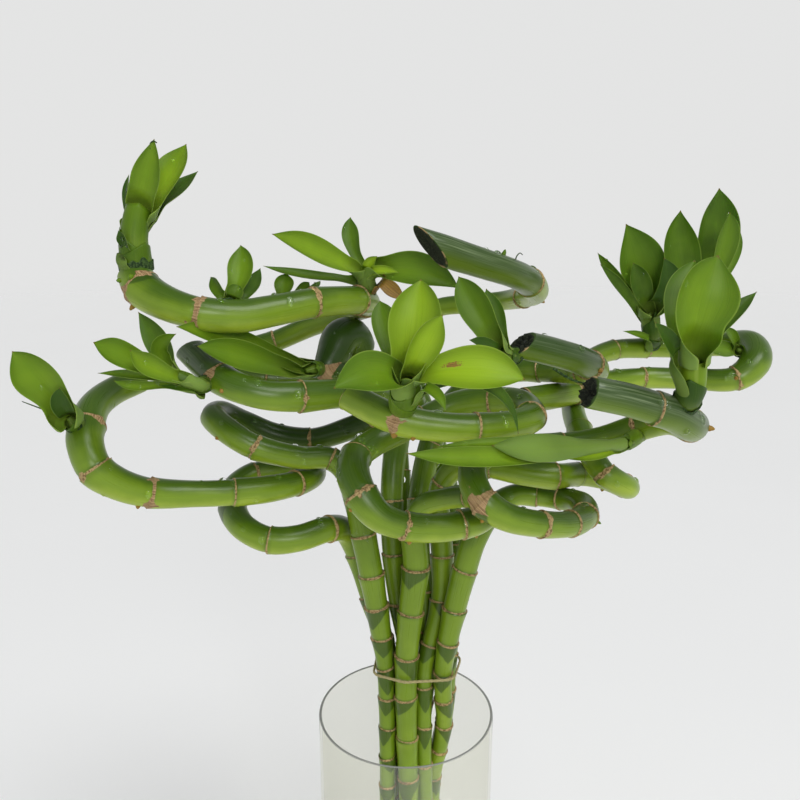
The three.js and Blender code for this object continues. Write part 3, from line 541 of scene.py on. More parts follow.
def trace(route):
    """The smooth curve through a route's points: a centripetal Catmull-Rom curve, sampled closely.
    Gives its points, the distance along it of each, and the distances of the route's own points."""
    knots = np.array([point[:3] for point in route], float)
    knots = np.vstack([2 * knots[0] - knots[1], knots, 2 * knots[-1] - knots[-2]])
    spans = np.sqrt(np.linalg.norm(np.diff(knots, axis=0), axis=1))[:, None]
    before, one, two, after = knots[:-3], knots[1:-2], knots[2:-1], knots[3:]
    first, middle, last = spans[:-2], spans[1:-1], spans[2:]
    leave = ((one - before) / first - (two - before) / (first + middle) + (two - one) / middle) * middle
    arrive = ((two - one) / middle - (after - one) / (middle + last) + (after - two) / last) * middle
    t = (np.arange(DENSE) / DENSE)[None, :, None]
    one, two, leave, arrive = (value[:, None] for value in (one, two, leave, arrive))
    cubic = 2 * one - 2 * two + leave + arrive
    square = 3 * two - 3 * one - 2 * leave - arrive
    curve = (one + leave * t + square * t ** 2 + cubic * t ** 3).reshape(-1, 3)
    curve = np.vstack([curve, knots[-2]])
    distance = np.append(0, np.cumsum(np.linalg.norm(np.diff(curve, axis=0), axis=1)))
    return curve, distance, distance[::DENSE]


def read_along(values, lengths, distance):
    """Values known at each point of a curve, read between them at distances along it."""
    columns = [np.interp(distance, lengths, column) for column in values.T]
    return np.stack(columns, -1)


def girth(route, traced, distance):
    """The radius at a distance along a route, from the route's diameters."""
    return np.interp(distance, traced[2], [point[3] / 2 for point in route])


def carried(curve):
    """Two directions across the curve that turn with it without twisting: any direction across it,
    turned back at each point by the twist gathered so far."""
    along = unit(np.gradient(curve, axis=0))
    guess = np.array([0.93, 0.11, 0.35])
    guess = unit(guess - (along @ guess)[:, None] * along)
    kept = unit(guess[:-1] - np.sum(guess[:-1] * along[1:], 1)[:, None] * along[1:])
    twist = np.arctan2(np.sum(np.cross(kept, guess[1:]) * along[1:], 1), np.sum(kept * guess[1:], 1))
    angle = np.append(0, np.cumsum(twist))[:, None]
    across = guess * np.cos(angle) - np.cross(along, guess) * np.sin(angle)
    return across, np.cross(along, across)


def tube(traced, distance, radius, angle):
    """Points on a tube round a curve: out from the curve at each distance by the radius, in the
    direction of each angle. Distances and radii may differ round the tube. Past the curve's end the
    tube runs on straight."""
    curve, lengths = traced[:2]
    across, upward = carried(curve)
    distance, radius, angle = np.broadcast_arrays(distance, radius, angle)
    middle, across, upward = (read_along(values, lengths, distance) for values in (curve, across, upward))
    out = across * np.cos(angle)[..., None] + upward * np.sin(angle)[..., None]
    past = np.maximum(distance - lengths[-1], 0)[..., None] * unit(curve[-1] - curve[-2])
    return middle + past + out * radius[..., None]


def cane_rings(cane, knot_distances):
    """The distance along a cane of each leaf ring, its kind, and how many rings the straight stem
    has. They are the marked ones, and plain ones below them, a pitch apart. None is nearer the end
    than a cut leaves room for."""
    last = knot_distances[-1] - CUT_ROOM
    marked = [(min(d, last), p[4]) for d, p in zip(knot_distances, cane["route"]) if len(p) > 4]
    below = np.arange(marked[0][0] - cane["pitch"], FOOT_CLEARANCE, -cane["pitch"])[::-1]
    distances = np.append(below, [d for d, kind in marked])
    kinds = np.append(np.full(len(below), RING), [kind for d, kind in marked])
    return distances, kinds, len(below) + 1


def cane_part(cane, traced, seed):
    """A cane: its radius follows the route's diameters, swells towards each ring, and has a fine
    ridge on the ring and a groove above it. The rings are tilted a little. The end is cut in a plane
    that leans as the cane's cut says, by sliding each side of the tube along until it meets the
    plane, and is torn by random depths, or it closes in a dome, a quarter circle of radius against
    distance. The values say how far each point is from its nearest ring and of which kind that is,
    and where the wax, the cut and the dark wedge that hangs under a ring are."""
    random = np.random.default_rng(seed)
    curve, lengths, knots = traced
    rings, kinds, straight = cane_rings(cane, knots)
    dome = cane.get("dome", 0)
    reach = lengths[-1] - dome
    steps = np.append(np.arange(0, reach, STEP), rings[:, None] + RING_STEPS)
    steps = np.unique(steps.clip(0, reach))
    steps = np.append(steps[:-1][np.diff(steps) > 0.08], reach)
    angle = round_angles(CANE_SIDES)[None]
    edges = np.concatenate([[0], rings, [lengths[-1] + FAR]])
    index = np.searchsorted(edges, steps, side="right").clip(1, len(edges) - 1)
    share = (steps - edges[index - 1]) / (edges[index] - edges[index - 1])
    closest = np.abs(steps[:, None] - rings).argmin(1)
    tilt = random.uniform(*RING_TILT, len(rings))[closest][:, None]
    tilt = tilt * np.cos(angle - random.uniform(0, 6, len(rings))[closest][:, None])
    gap = (steps - rings[closest])[:, None] - tilt
    width = girth(cane["route"], traced, steps)
    flare = np.where(steps < rings[straight - 1], STEM_FLARE, RING_FLARE) * share ** 3
    radius = (width * (1 + np.where(steps < rings[-1], flare, 0)))[:, None]
    lumps = OVAL * np.sin(2 * angle + steps[:, None] / 9 + seed)
    lumps = lumps + THREE_SIDED * np.sin(3 * angle - steps[:, None] / 5)
    ridge = RIDGE * np.exp(-(gap / RIDGE_WIDTH) ** 2)
    ridge = ridge - GROOVE * np.exp(-((gap - GROOVE_PLACE) / GROOVE_WIDTH) ** 2)
    radius = radius * (1 + lumps) + ridge
    dish, depth = DISH, DISH_DEPTH
    if dome:
        dish, depth = np.cos(DOME_BEND), dome * np.sin(DOME_BEND)
    heading = unit(curve[-1] - curve[-2])
    plane = unit(heading + np.array(cane.get("cut", (0, 0, 0.1))))
    across, upward = (values[-1] for values in carried(curve))
    lean = (across @ plane) * np.cos(angle) + (upward @ plane) * np.sin(angle)
    slide = -width[-1] * lean / (heading @ plane) * (not dome)
    sloping = slide * smooth((steps[:, None] - reach) / CUT_RUN + 1)
    body = tube(traced, steps[:, None] + sloping, radius, angle)
    fray = cane.get("fray", PLAIN_FRAY) * random.standard_normal((len(dish), CANE_SIDES)) * (not dome)
    depth = depth[:, None] + fray * (dish[:, None] < 0.95)
    end = tube(traced, reach + slide * dish[:, None], width[-1] * dish[:, None], angle)
    end = end + heading * depth[..., None]
    flat = (len(dish), CANE_SIDES)
    next_ring = np.searchsorted(rings, steps - 0.01).clip(0, len(rings) - 1)
    wedge = random.uniform(*WEDGE_LENGTH, len(rings))
    likely = np.where(np.arange(len(rings)) < straight, WEDGES_ON_STEM, WEDGES_ON_CURL)
    wedge[random.uniform(0, 1, len(rings)) > likely] = NO_WEDGE
    wedge_turn = -np.pi / 2 + random.uniform(-WEDGE_SPREAD, WEDGE_SPREAD, len(rings))
    away = np.abs((angle - wedge_turn[next_ring][:, None] + np.pi) % (2 * np.pi) - np.pi)
    drop = (rings[next_ring] - steps)[:, None]
    patch = np.where(drop > -0.05, 1 - drop / wedge[next_ring][:, None] - away / WEDGE_WIDTH, -1)
    waxy_start = rings[-cane["waxy"]] if cane["waxy"] else lengths[-1] + 5
    wax = np.clip((steps - waxy_start) / WAX_RUN, 0, 1)
    tone = np.interp(steps / reach, np.linspace(0, 1, len(cane["tone"])), cane["tone"])

    def ended(values, last):
        """One value for each row of the body, and then the end's."""
        return np.append(values, last + 0 * dish)[:, None]

    return grid(
        np.vstack([body, end]), along=np.append(steps, reach + 0 * dish) / 100,
        near=np.vstack([np.abs(gap), np.full(flat, FAR)]),
        patch=np.vstack([patch, np.full(flat, -1.0)]),
        rust=ended(kinds[closest] == RUST, 0), star=ended(kinds[closest] == STAR, 0),
        wax=ended(wax, 1 if cane["waxy"] else END_WAX),
        cut=ended(0 * steps, 0 if dome else 1 - dish + CUT_EDGE),
        tone=ended(tone, cane["tone"][-1]), pale=cane["pale"])


# Painted light and shade on the cane's green: a shaded darker green on top, a mid green on the sides and a
# lit yellow-green underneath.
CANE_TOP_PAINTED_SHADE = (0.050, 0.105, 0.005)
CANE_SIDE = (0.155, 0.248, 0.010)
CANE_UNDER_PAINTED_LIGHT = (0.300, 0.405, 0.030)
CANE_DEEP = (0.024, 0.058, 0.003)
WAX_DARK = (0.020, 0.050, 0.006)
# The waxy ends: pale streaks that are partly the real bloom and partly a painted sheen, and a painted
# lighter green underneath.
WAX_PALE_AND_SHEEN = (0.190, 0.250, 0.130)
WAX_UNDER_PAINTED_LIGHT = (0.130, 0.210, 0.012)
SCAR_TAN = (0.420, 0.290, 0.130)
SCAR_BROWN = (0.140, 0.070, 0.024)
SCAR_PAPER = (0.440, 0.290, 0.150)
CUT_BLACK = (0.006, 0.010, 0.004)
CUT_FIBRE = (0.075, 0.080, 0.045)


def cane_paint():
    """Smooth green skin with painted light and shade: darker where it faces up and yellow-green below,
    as the light fell on it, and deeper where its tone says, with faint streaks along it and dark
    wedges under the rings. Over it come a waxy bloom, whose pale streaks on the upper side are partly
    a painted sheen and whose underside is painted lighter, tan rings, papery stars whose spikes are
    powers of a saw wave round the cane, and a black fibrous cut with a torn rim."""
    paint = Paint("green_cane")
    turn, along, _ = paint.split(paint.place("UV"))
    angle = turn * (2 * math.pi)
    around = paint.add("CombineXYZ", {0: paint.sum("COSINE", angle), 1: paint.sum("SINE", angle), 2: along})
    facing = paint.split(paint.place("Normal"))[2]
    streak = paint.noise(2.2, 5, 0.6, paint.stretch(around, (5, 5, 1.6)))
    cloud = paint.noise(55, 3)
    grain = paint.noise(900, 3, 0.6)
    # Painted shade: the skin darkens as it faces up and as its tone deepens.
    shade = cloud * 0.9 + facing + paint.read("tone") * 0.5 - 0.65
    wedge = (cloud - 0.5) * 0.9 + paint.read("patch")
    colour = paint.layers(
        CANE_UNDER_PAINTED_LIGHT,
        (CANE_SIDE, shade, -0.75, -0.05),
        (CANE_TOP_PAINTED_SHADE, shade, 0.0, 0.85),
        (CANE_UNDER_PAINTED_LIGHT, streak, 0.5, 0.75, 0.08),
        (CANE_TOP_PAINTED_SHADE, streak, 0.5, 0.3, 0.08),
        (CANE_DEEP, wedge, 0.0, 0.12, 0.75))

    # The pale waxy streaks show only where the skin faces up: partly real bloom, partly painted sheen.
    bloom_and_sheen = (paint.fade(streak, 0.45, 0.7) * 0.8 + 0.1) * paint.fade(facing, -0.4, 0.5)
    waxy = paint.mix(bloom_and_sheen * paint.read("pale"), WAX_DARK, WAX_PALE_AND_SHEEN)
    # Painted light: the waxy skin turns a lighter green where it faces down.
    waxy = paint.layers(waxy, (WAX_UNDER_PAINTED_LIGHT, facing, 0.2, -0.9))
    colour = paint.mix(paint.read("wax") * 0.9, colour, waxy)

    near = paint.read("near")
    ragged = cloud * 0.9 + grain * 0.7
    blot = paint.fade(paint.noise(160), 0.48, 0.68)
    colour = paint.layers(colour, (CANE_DEEP, near, 2.6, 0.4, 0.3))
    reach = ragged * 0.4 + blot * 0.35 + paint.read("rust") * blot * 1.1
    ring = paint.fade(near - reach, 0.22, -0.1)
    ring_colour = paint.layers(SCAR_BROWN, (SCAR_TAN, grain, 0.36, 0.56))
    colour = paint.mix(ring * 0.92, colour, ring_colour)

    saw = paint.sum("PINGPONG", turn * 3.0 + cloud * 1.6, 0.5)
    spike = (saw * 2.0) ** 4.5 * (blot * 3.2 + 2.4)
    star = paint.fade(near - (spike + ragged * 1.3 - 0.1), 0.3, -0.1) * paint.read("star")
    shred = paint.noise(4, 4, 0.7, paint.stretch(around, (9, 9, 3)))
    paper = paint.layers(SCAR_TAN, (SCAR_PAPER, grain, 0.4, 0.6), (SCAR_BROWN, shred, 0.55, 0.42))
    colour = paint.mix(star, colour, paper)

    cut = paint.read("cut")
    fibre = paint.layers(CUT_BLACK, (CUT_FIBRE, paint.noise(1400, 4, 0.7), 0.5, 0.7))
    torn = paint.layers(CANE_DEEP, (SCAR_TAN, paint.noise(130, 1), 0.46, 0.56))
    cut_off = paint.fade(cut, 0.01, 0.04)
    colour = paint.mix(cut_off, colour, paint.layers(torn, (fibre, cut, 0.05, 0.17)))

    dull = paint.sum("MAXIMUM", paint.sum("MAXIMUM", ring, star), cut_off)
    height = star * 0.7 + streak * 0.6 + grain * 0.5
    return paint.finish(Base_Color=colour, Roughness=dull * 0.4 + streak * 0.2 + 0.2,
                        Specular_IOR_Level=0.36, Normal=paint.bump(height, 0.2))


cane_finish = cane_paint()
traces = {node: trace(cane["route"]) for node, cane in canes.items()}
for seed, (node, cane) in enumerate(canes.items()):
    skin = cane_part(cane, traces[node], seed)
    build(node.replace("cane_", "skin_"), [skin], cane_finish, "cane", node)

# Tie
# One turn of thin tan raffia pulled tight round the nine stems just above the rim. Its outline is
# that of a string round round posts: at each direction it touches the stem that reaches furthest.
TIE_RADIUS = 0.75
TIE_CLEARANCE = 0.9
TIE_DROP = 1.5
TIE_SWAY = 0.5
TIE_TWIST = 0.12
TIE_DARK = (0.20, 0.16, 0.06)
TIE_LIGHT = (0.48, 0.42, 0.20)
stems = np.array([next(point[:4] for point in cane["route"] if point[2] == TIE_HEIGHT)
                  for cane in canes.values()])


def tie_part():
    """A closed thin tube round the stems, a little flattened and twisted. Its path joins, for each
    direction, the point of the stem whose outline reaches furthest that way."""
    turn = round_angles(720)
    out = np.stack([np.cos(turn), np.sin(turn)], 1)
    reach = stems[:, 3] / 2 * (1 + RING_FLARE) + TIE_CLEARANCE + TIE_RADIUS * 0.6
    support = out @ stems[:, :2].T + reach
    chosen = support.argmax(1)
    touch = stems[chosen, :2] + out * reach[chosen][:, None]
    closed = np.vstack([touch, touch[:1]])
    run = np.append(0, np.cumsum(np.linalg.norm(np.diff(closed, axis=0), axis=1)))
    even = np.linspace(0, run[-1], 360, endpoint=False)
    path = read_along(closed, run, even)
    heading = np.roll(path, -3, 0) - np.roll(path, 3, 0)
    heading /= np.linalg.norm(heading, axis=1)[:, None]
    side = np.stack([heading[:, 1], -heading[:, 0]], 1)
    angle = round_angles(12)
    height = TIE_HEIGHT - TIE_DROP + TIE_SWAY * np.sin(even / run[-1] * 4 * np.pi)
    round_radius = TIE_RADIUS * (1 + TIE_TWIST * np.sin(2 * angle[None] + even[:, None] * 2.1))
    centre = path[:, None] + side[:, None] * (round_radius * np.cos(angle))[..., None] * 0.8
    rise = height[:, None] - round_radius * np.sin(angle) * 1.1
    return grid(np.concatenate([centre, rise[..., None]], 2), loop=True, along=even / 10)


def tie_paint():
    """Dry plant fibre: tan with darker threads that wind along it."""
    paint = Paint("raffia")
    thread = paint.noise(3, 4, 0.6, paint.stretch(paint.place("UV"), (9, 2, 1), 0.5))
    colour = paint.layers(TIE_DARK, (TIE_LIGHT, thread, 0.35, 0.65))
    return paint.finish(Base_Color=colour, Roughness=0.75, Normal=paint.bump(thread, 0.6))


build("raffia_tie", [tie_part()], tie_paint(), "tie", "tie_band")

# Shoots
# Fourteen young side shoots. Each has a short stalk wrapped in the bases of its leaves, a ragged
# dark collar where it broke through the cane, and smooth blades that stand up or lie over.

# A stalk is points of x, y, z and diameter. A leaf is its root, its middle, its tip, its width, the
# way its upper face looks, its belly, which is 1 for a leaf that is widest halfway and more for one
# widest nearer the tip, and its tone, from 0, deep green, to 1, lime, with -1 for a dried leaf. The
# tone is partly the leaf's own green and partly painted shade, deeper on leaves that lie in shadow.
# A shoot's base is how wide its leaves start, as a share of their full width, closed the share of
# their length over which they stay rolled round the stalk, and collar the collar's height. Its
# wraps are old leaf bases: where each starts and ends and how much higher its point is, as shares
# of the free stalk, the side of its point and its tone. A scar is the number of a leaf that has
# dried in one place, and that place's share of the leaf's length and of its half width.
shoots = {
    "shoot_top_left": {
        "base": 0.95, "collar": 3.5,
        "wraps": [(0.2, 0.83, 0.2, (0.2, -1, 0), 0.3), (0, 0.2, 0.42, (-1, -0.3, 0), 0.25),
                  (0, 0.1, 0.34, (1, -0.5, 0), 0.2)],
        "stalk": [(-131, -15, 503, 14.5), (-131, -16, 517, 13), (-129, -15, 528, 12), (-127, -15, 534, 11)],
        "leaves": [
            ((-127, -17, 532), (-120.5, -21, 547), (-116, -22, 563), 13.5, (0, -1, 0.15), 0.95, 0.6),
            ((-126, -14, 531), (-114, -9, 546), (-106, -4, 562), 17, (-0.5, -1, 0.1), 1.3, 0.8),
            ((-125, -12, 530), (-115, -2, 538), (-105, 12, 550), 12, (-0.4, -0.9, 0.4), 1.2, 0.2),
            ((-133, -12, 528), (-136, -5, 538), (-136, 0, 548), 7, (-0.7, -0.7, 0), 1.2, 0.1),
            ((-133, -19, 510), (-133, -24, 517), (-135, -25, 522), 6, (-0.4, -1, 0.1), 1.2, 0.1)]},
    "shoot_left": {
        "base": 0.7,
        "stalk": [(-158, -32, 429, 9), (-158, -42, 434, 9.5), (-160, -44, 438, 8)],
        "leaves": [
            ((-158, -44, 437), (-164, -58, 458), (-172, -64, 472), 19, (0, -1, 0.3), 1.35, 0.65),
            ((-157, -44, 435), (-157, -55, 446), (-156, -57, 454), 9, (0.3, -1, 0.1), 1.1, 0.1)]},
    "shoot_left_middle": {
        "stalk": [(-96, -33, 451, 8), (-97, -43, 452, 7.5), (-103, -46, 455, 6.5), (-108, -46, 459, 5)],
        "leaves": [
            ((-99, -46, 454), (-121, -60, 467), (-134, -70, 477), 12.5, (0, -0.8, 0.6), 1.9, 0.6),
            ((-100, -47, 455), (-112, -58, 463), (-120, -66, 473), 10, (0.1, -1, 0.4), 1.6, 0.65),
            ((-100, -45, 453), (-119, -53, 458), (-138, -58, 461), 6.5, (0, -0.5, 1), 1.3, 0.6),
            ((-108, -45, 458), (-115, -38, 470), (-126, -33, 485), 12, (-0.1, -1, 0.1), 1.3, 0.25),
            ((-107, -47, 458), (-112, -49, 470), (-103, -54, 478), 8.5, (0.1, -1, 0.2), 1.1, 0.5),
            ((-95, -46, 450), (-103, -50, 452), (-113, -52, 454), 4, (0, -0.6, 0.8), 1.1, 0.2),
            ((-106, -44, 454), (-125, -42, 451.5), (-137, -42, 454), 4.5, (0, -0.9, 0.3), 1.3, 0.6)]},
    "shoot_inner_left": {
        "base": 0.35, "collar": 0,
        "stalk": [(-46, 20, 447, 8), (-49, 8, 449, 8.5), (-54, 2, 449, 7)],
        "leaves": [
            ((-56, 2, 448), (-80, -31, 464), (-96, -46, 471), 14, (0.1, -1, 0.4), 1.1, 0.5),
            ((-54, 4, 450), (-84, -23, 470), (-105, -46, 480), 12, (0.1, -1, 0.5), 1.2, 0.6),
            ((-53, 6, 451), (-72, 8, 459), (-87, 14, 468), 7, (0, -0.7, 0.7), 1.1, 0.15)]},
    "shoot_behind_left": {
        "stalk": [(-85, -28, 484, 8), (-87, -17, 487, 8), (-86, -15, 490, 6)],
        "leaves": [
            ((-86, -17, 489), (-82, -8, 502), (-83, 0, 514), 12.5, (0, -1, 0.1), 1.3, 0.55),
            ((-88, -18, 488), (-93, -13, 494), (-97, -8, 499), 6.5, (-0.3, -1, 0.1), 1.2, 0.3),
            ((-83, -16, 488), (-78, -4, 494), (-75, 8, 502), 7, (0.3, -1, 0.2), 1.1, 0.15),
            ((-85, -19, 488), (-83, -19, 493), (-82, -17, 496), 8, (0.1, -1, 0.1), 1.1, 0.35)]},
    "shoot_behind_middle": {
        "stalk": [(-53, -8, 484, 8), (-59, 2, 484, 7), (-61, 3, 487, 5)],
        "leaves": [
            ((-62, 1, 486), (-63, 8, 493), (-62, 12, 499), 10, (0, -1, 0.1), 1.2, 0.45),
            ((-58, 2, 486), (-54, 10, 491), (-51, 16, 494), 5.5, (0, -1, 0.1), 1.1, 0.3),
            ((-57, 2, 486), (-49, 14, 491), (-46, 24, 494), 3.5, (0.2, -0.7, 0.6), 1, 0.3)]},
    "shoot_top_middle": {
        "base": 0.35,
        "stalk": [(-25, 26, 481, 9), (-20, 19, 489, 8.5), (-21, 16, 495, 8.5), (-20, 15, 500, 7)],
        "leaves": [
            ((-22, 15, 498), (-44, 0, 510), (-65, -14, 520), 15, (0, -0.8, 0.6), 1.3, 0.7),
            ((-23, 18, 496), (-49, 13, 497), (-74, 10, 503), 7.5, (0, -0.5, 0.8), 1.2, 0.35),
            ((-22, 18, 499), (-29, 27, 514), (-30, 34, 527), 9, (0, -1, 0), 1.5, 0.3),
            ((-20, 13, 499), (4, 8, 501.5), (27, 4, 492), 17, (0.1, -1, 0.3), 1.15, 0.45),
            ((-22, 11, 499), (-13, 7, 501), (-4, 5, 500), 5, (0, -0.9, 0.4), 1, 0.9),
            ((-21, 12, 500), (-19, 11, 504), (-15, 9, 508), 6, (0, -0.9, 0.4), 1, 0.95),
            ((-15, 9, 497), (-8, 6, 491.5), (-1, 5, 486), 7.5, (0, -1, 0.3), 1.1, -1)]},
    "shoot_centre": {
        "base": 0.6,
        "stalk": [(50, -48, 467, 7), (43.5, -55, 468.5, 7.5), (41, -58, 472, 6.5)],
        "leaves": [
            ((40, -58, 472), (29.5, -56, 490), (22.5, -50, 503), 14, (-0.1, -1, 0.1), 1.2, 0.35),
            ((42, -56, 472), (38.5, -50, 485), (35.5, -44, 497), 10, (0.3, -1, 0), 1.2, 0.2),
            ((44, -58, 470), (34.5, -66, 475), (26, -70, 478), 6, (0, -0.8, 0.6), 1.2, 0.1)]},
    "shoot_front": {
        "base": 0.25, "collar": 0, "scar": (3, 0.36, 0.25),
        "stalk": [(-3, -69, 446, 10), (-2, -77, 453, 12.5), (-1, -85, 460, 12.5), (-1, -90, 467, 8)],
        "leaves": [
            ((-1, -90, 465), (3, -91, 488), (5, -84, 505), 21, (-0.2, -1, 0.1), 1.2, 0.85),
            ((0, -92, 466), (6, -99, 481), (13, -100, 493), 13, (0.3, -1, 0.15), 1.2, 0.9),
            ((-1, -91, 465), (-14, -106, 471), (-28, -118, 468), 17, (0.1, -0.9, 0.5), 1.1, 0.45),
            ((-1, -90, 466), (24, -97, 471), (46, -98, 467), 18, (0, -0.9, 0.5), 1.4, 1.0),
            ((-3, -86, 466), (-9, -72, 483), (-12, -64, 494), 11.5, (0, -1, 0.1), 1.2, 0.4),
            ((2, -93, 463), (10, -103, 463), (14, -110, 457), 5, (0.2, -0.8, 0.4), 1, 0.5),
            ((2, -88, 463), (32, -92, 463), (46, -86, 441), 5.5, (0.3, -0.7, 0.5), 1.2, 0.15)]},
    "shoot_low_right": {
        "base": 0.3, "collar": 0,
        "stalk": [(113, -34, 426, 8.5), (103, -46, 425, 7), (94, -54, 427, 4.5)],
        "leaves": [
            ((92, -56, 427), (61, -78, 433), (35, -86, 436), 12.5, (0, 0.9, -0.5), 1.3, 0.7),
            ((94, -52, 425), (41, -84, 430), (-1, -100, 437), 9.5, (0, -0.8, 0.6), 1.5, 0.65),
            ((96, -52, 427), (49, -68, 432), (11, -82, 434), 5, (0, -0.6, 0.8), 1.4, 0.6),
            ((100, -49, 424), (85, -62, 425), (69, -70, 425), 6, (0.1, -0.9, 0.4), 1.2, 0.9)]},
    "shoot_far_right": {
        "stalk": [(162, 110, 442, 9), (158, 100, 452, 12), (154, 96, 464, 11), (152, 94, 470, 8)],
        "leaves": [
            ((152, 96, 466), (130, 88, 489), (116, 84, 505), 7, (-0.4, -1, 0.1), 1.3, 0.3),
            ((152, 96, 461), (134, 84, 482), (115, 72, 499), 6.5, (-0.4, -1, 0.1), 1.3, 0.25),
            ((154, 98, 466), (146, 93, 494), (133, 88, 522), 28, (0, -1, 0.15), 1.3, 0.38),
            ((153, 94, 467), (144, 86, 486), (138, 84, 499), 12.5, (-0.1, -1, 0.1), 1.2, 0.2),
            ((154, 94, 467), (160, 84, 485), (156, 83, 502), 16, (0.1, -1, 0.1), 1.1, 0.0),
            ((159, 99, 447), (149, 90, 453), (135, 86, 457), 5, (0, -0.8, 0.6), 1.1, 0.4)]},
    "shoot_far_turn": {
        "stalk": [(211, 84, 444, 8), (205, 76, 446, 7.5), (201, 72, 448, 6)],
        "leaves": [
            ((203, 74, 447), (187, 62, 450), (173, 54, 452), 10, (0, -0.9, 0.4), 1.1, 0.4),
            ((203, 75, 448), (195, 66, 457), (187, 60, 463), 7, (0, -1, 0.3), 1.1, 0.35)]},
    "shoot_tall_right": {
        "stalk": [(193, 110, 442, 9), (189, 100, 459, 11), (184, 92, 472, 10), (183, 90, 478, 8)],
        "leaves": [
            ((183, 91, 474), (168, 88, 503), (164, 84, 530), 21.5, (-0.1, -1, 0.1), 1.3, 0.3),
            ((185, 93, 473), (191, 97, 512), (190, 95, 543), 27, (0.05, -1, 0.1), 1.2, 0.25),
            ((184, 88, 474), (189, 78, 507), (189, 73, 529), 15.5, (0.3, -1, 0.1), 1.4, 0.45),
            ((185, 90, 474), (200, 91, 499), (204, 91, 517), 9, (0.8, -0.8, 0.1), 1.2, 0.35)]},
    "shoot_right": {
        "base": 0.4, "closed": 0.1,
        "wraps": [(0, 0.8, 0.1, (0, 1, 0), 0.75), (0, 0.2, 0.4, (-0.4, -1, 0), 0.0)],
        "stalk": [(116, -80, 450, 9.5), (116, -87, 461, 11), (115, -89, 469, 11), (114.5, -89.5, 478, 10)],
        "leaves": [
            ((114.5, -90, 473), (113, -97, 494), (120, -92, 515), 25, (0.1, -1, 0.15), 1.65, 0.6),
            ((116, -86, 474), (131, -78, 487), (148, -66, 498), 7.5, (-0.3, -0.8, 0.7), 1.2, 0.2),
            ((114, -85, 470), (114, -75, 493), (122, -62, 511), 15.5, (-0.4, -1, 0.1), 1.3, 0.35),
            ((112, -90, 468), (103, -98, 481), (95, -100, 490), 6.5, (0.1, -1, 0.2), 1.2, 0.1)]},
}
NECK_ROWS = 12
LEAF_ROWS = 42
LEAF_SIDES = 36
LEAF_THICKNESS = 0.65
LEAF_CUP = 0.75
LEAF_WAVE = 0.05
CHANNEL_DEPTH, CHANNEL_WIDTH = 0.03, 0.13
SCAR_LENGTH, SCAR_WIDTH = 0.13, 0.12
NO_SCAR = (-9, 0)
ROLL_OPENS = 0.32
ROLL_FIT, ROLL_STEP = 0.9, 0.12
FULLEST_ROLL = 3
NECK_LENGTH = (1.5, 9)
STALK_SIDES = 28
PLAIN_BASE = 0.45
PLAIN_CLOSED = -0.02
PLAIN_COLLAR = 1.6
WRAP_THICKNESS = 0.3
FREE_FOR_WRAPS = (5, 12)
COLLAR_SUNK = 2
SHEATH_RISE = np.array([0, 0.2, 0.4, 0.6, 0.8, 0.93, 1, 0.97, 0.85, 0.6, 0.3])
SHEATH_WALL = np.array([-0.1, 0.1, 0.12, 0.15, 0.18, 0.2, 0.15, 0.0, -0.2, -0.4, -1.0])


def emerging(traced):
    """The distance along a stalk at which it comes out of its cane: the last place that is nearer to
    a cane's middle line than that cane's radius and isn't past the cane's end, or 0 without one."""
    curve, lengths = traced[:2]
    inside = np.zeros(len(curve), bool)
    for node, (line, distance, _) in traces.items():
        radius = girth(canes[node]["route"], traces[node], distance)
        away = np.linalg.norm(curve[:, None] - line[None, ::4], axis=2)
        closest = away.argmin(1)
        beside = (curve - line[-1]) @ unit(line[-1] - line[-2]) < 0.5
        inside |= (away.min(1) < radius[::4][closest]) & (beside | (closest < len(line[::4]) - 1))
    return lengths[inside.nonzero()[0][-1]] if inside.any() else 0.0


def leafy(points, tone, across=0.3, lengthwise=0.3, under=0.0, dark=0.0, scar=0.0):
    """A closed part with the values that the leaf finish reads."""
    return grid(points, across=across, lengthwise=lengthwise, under=under, tone=tone, dark=dark, scar=scar)


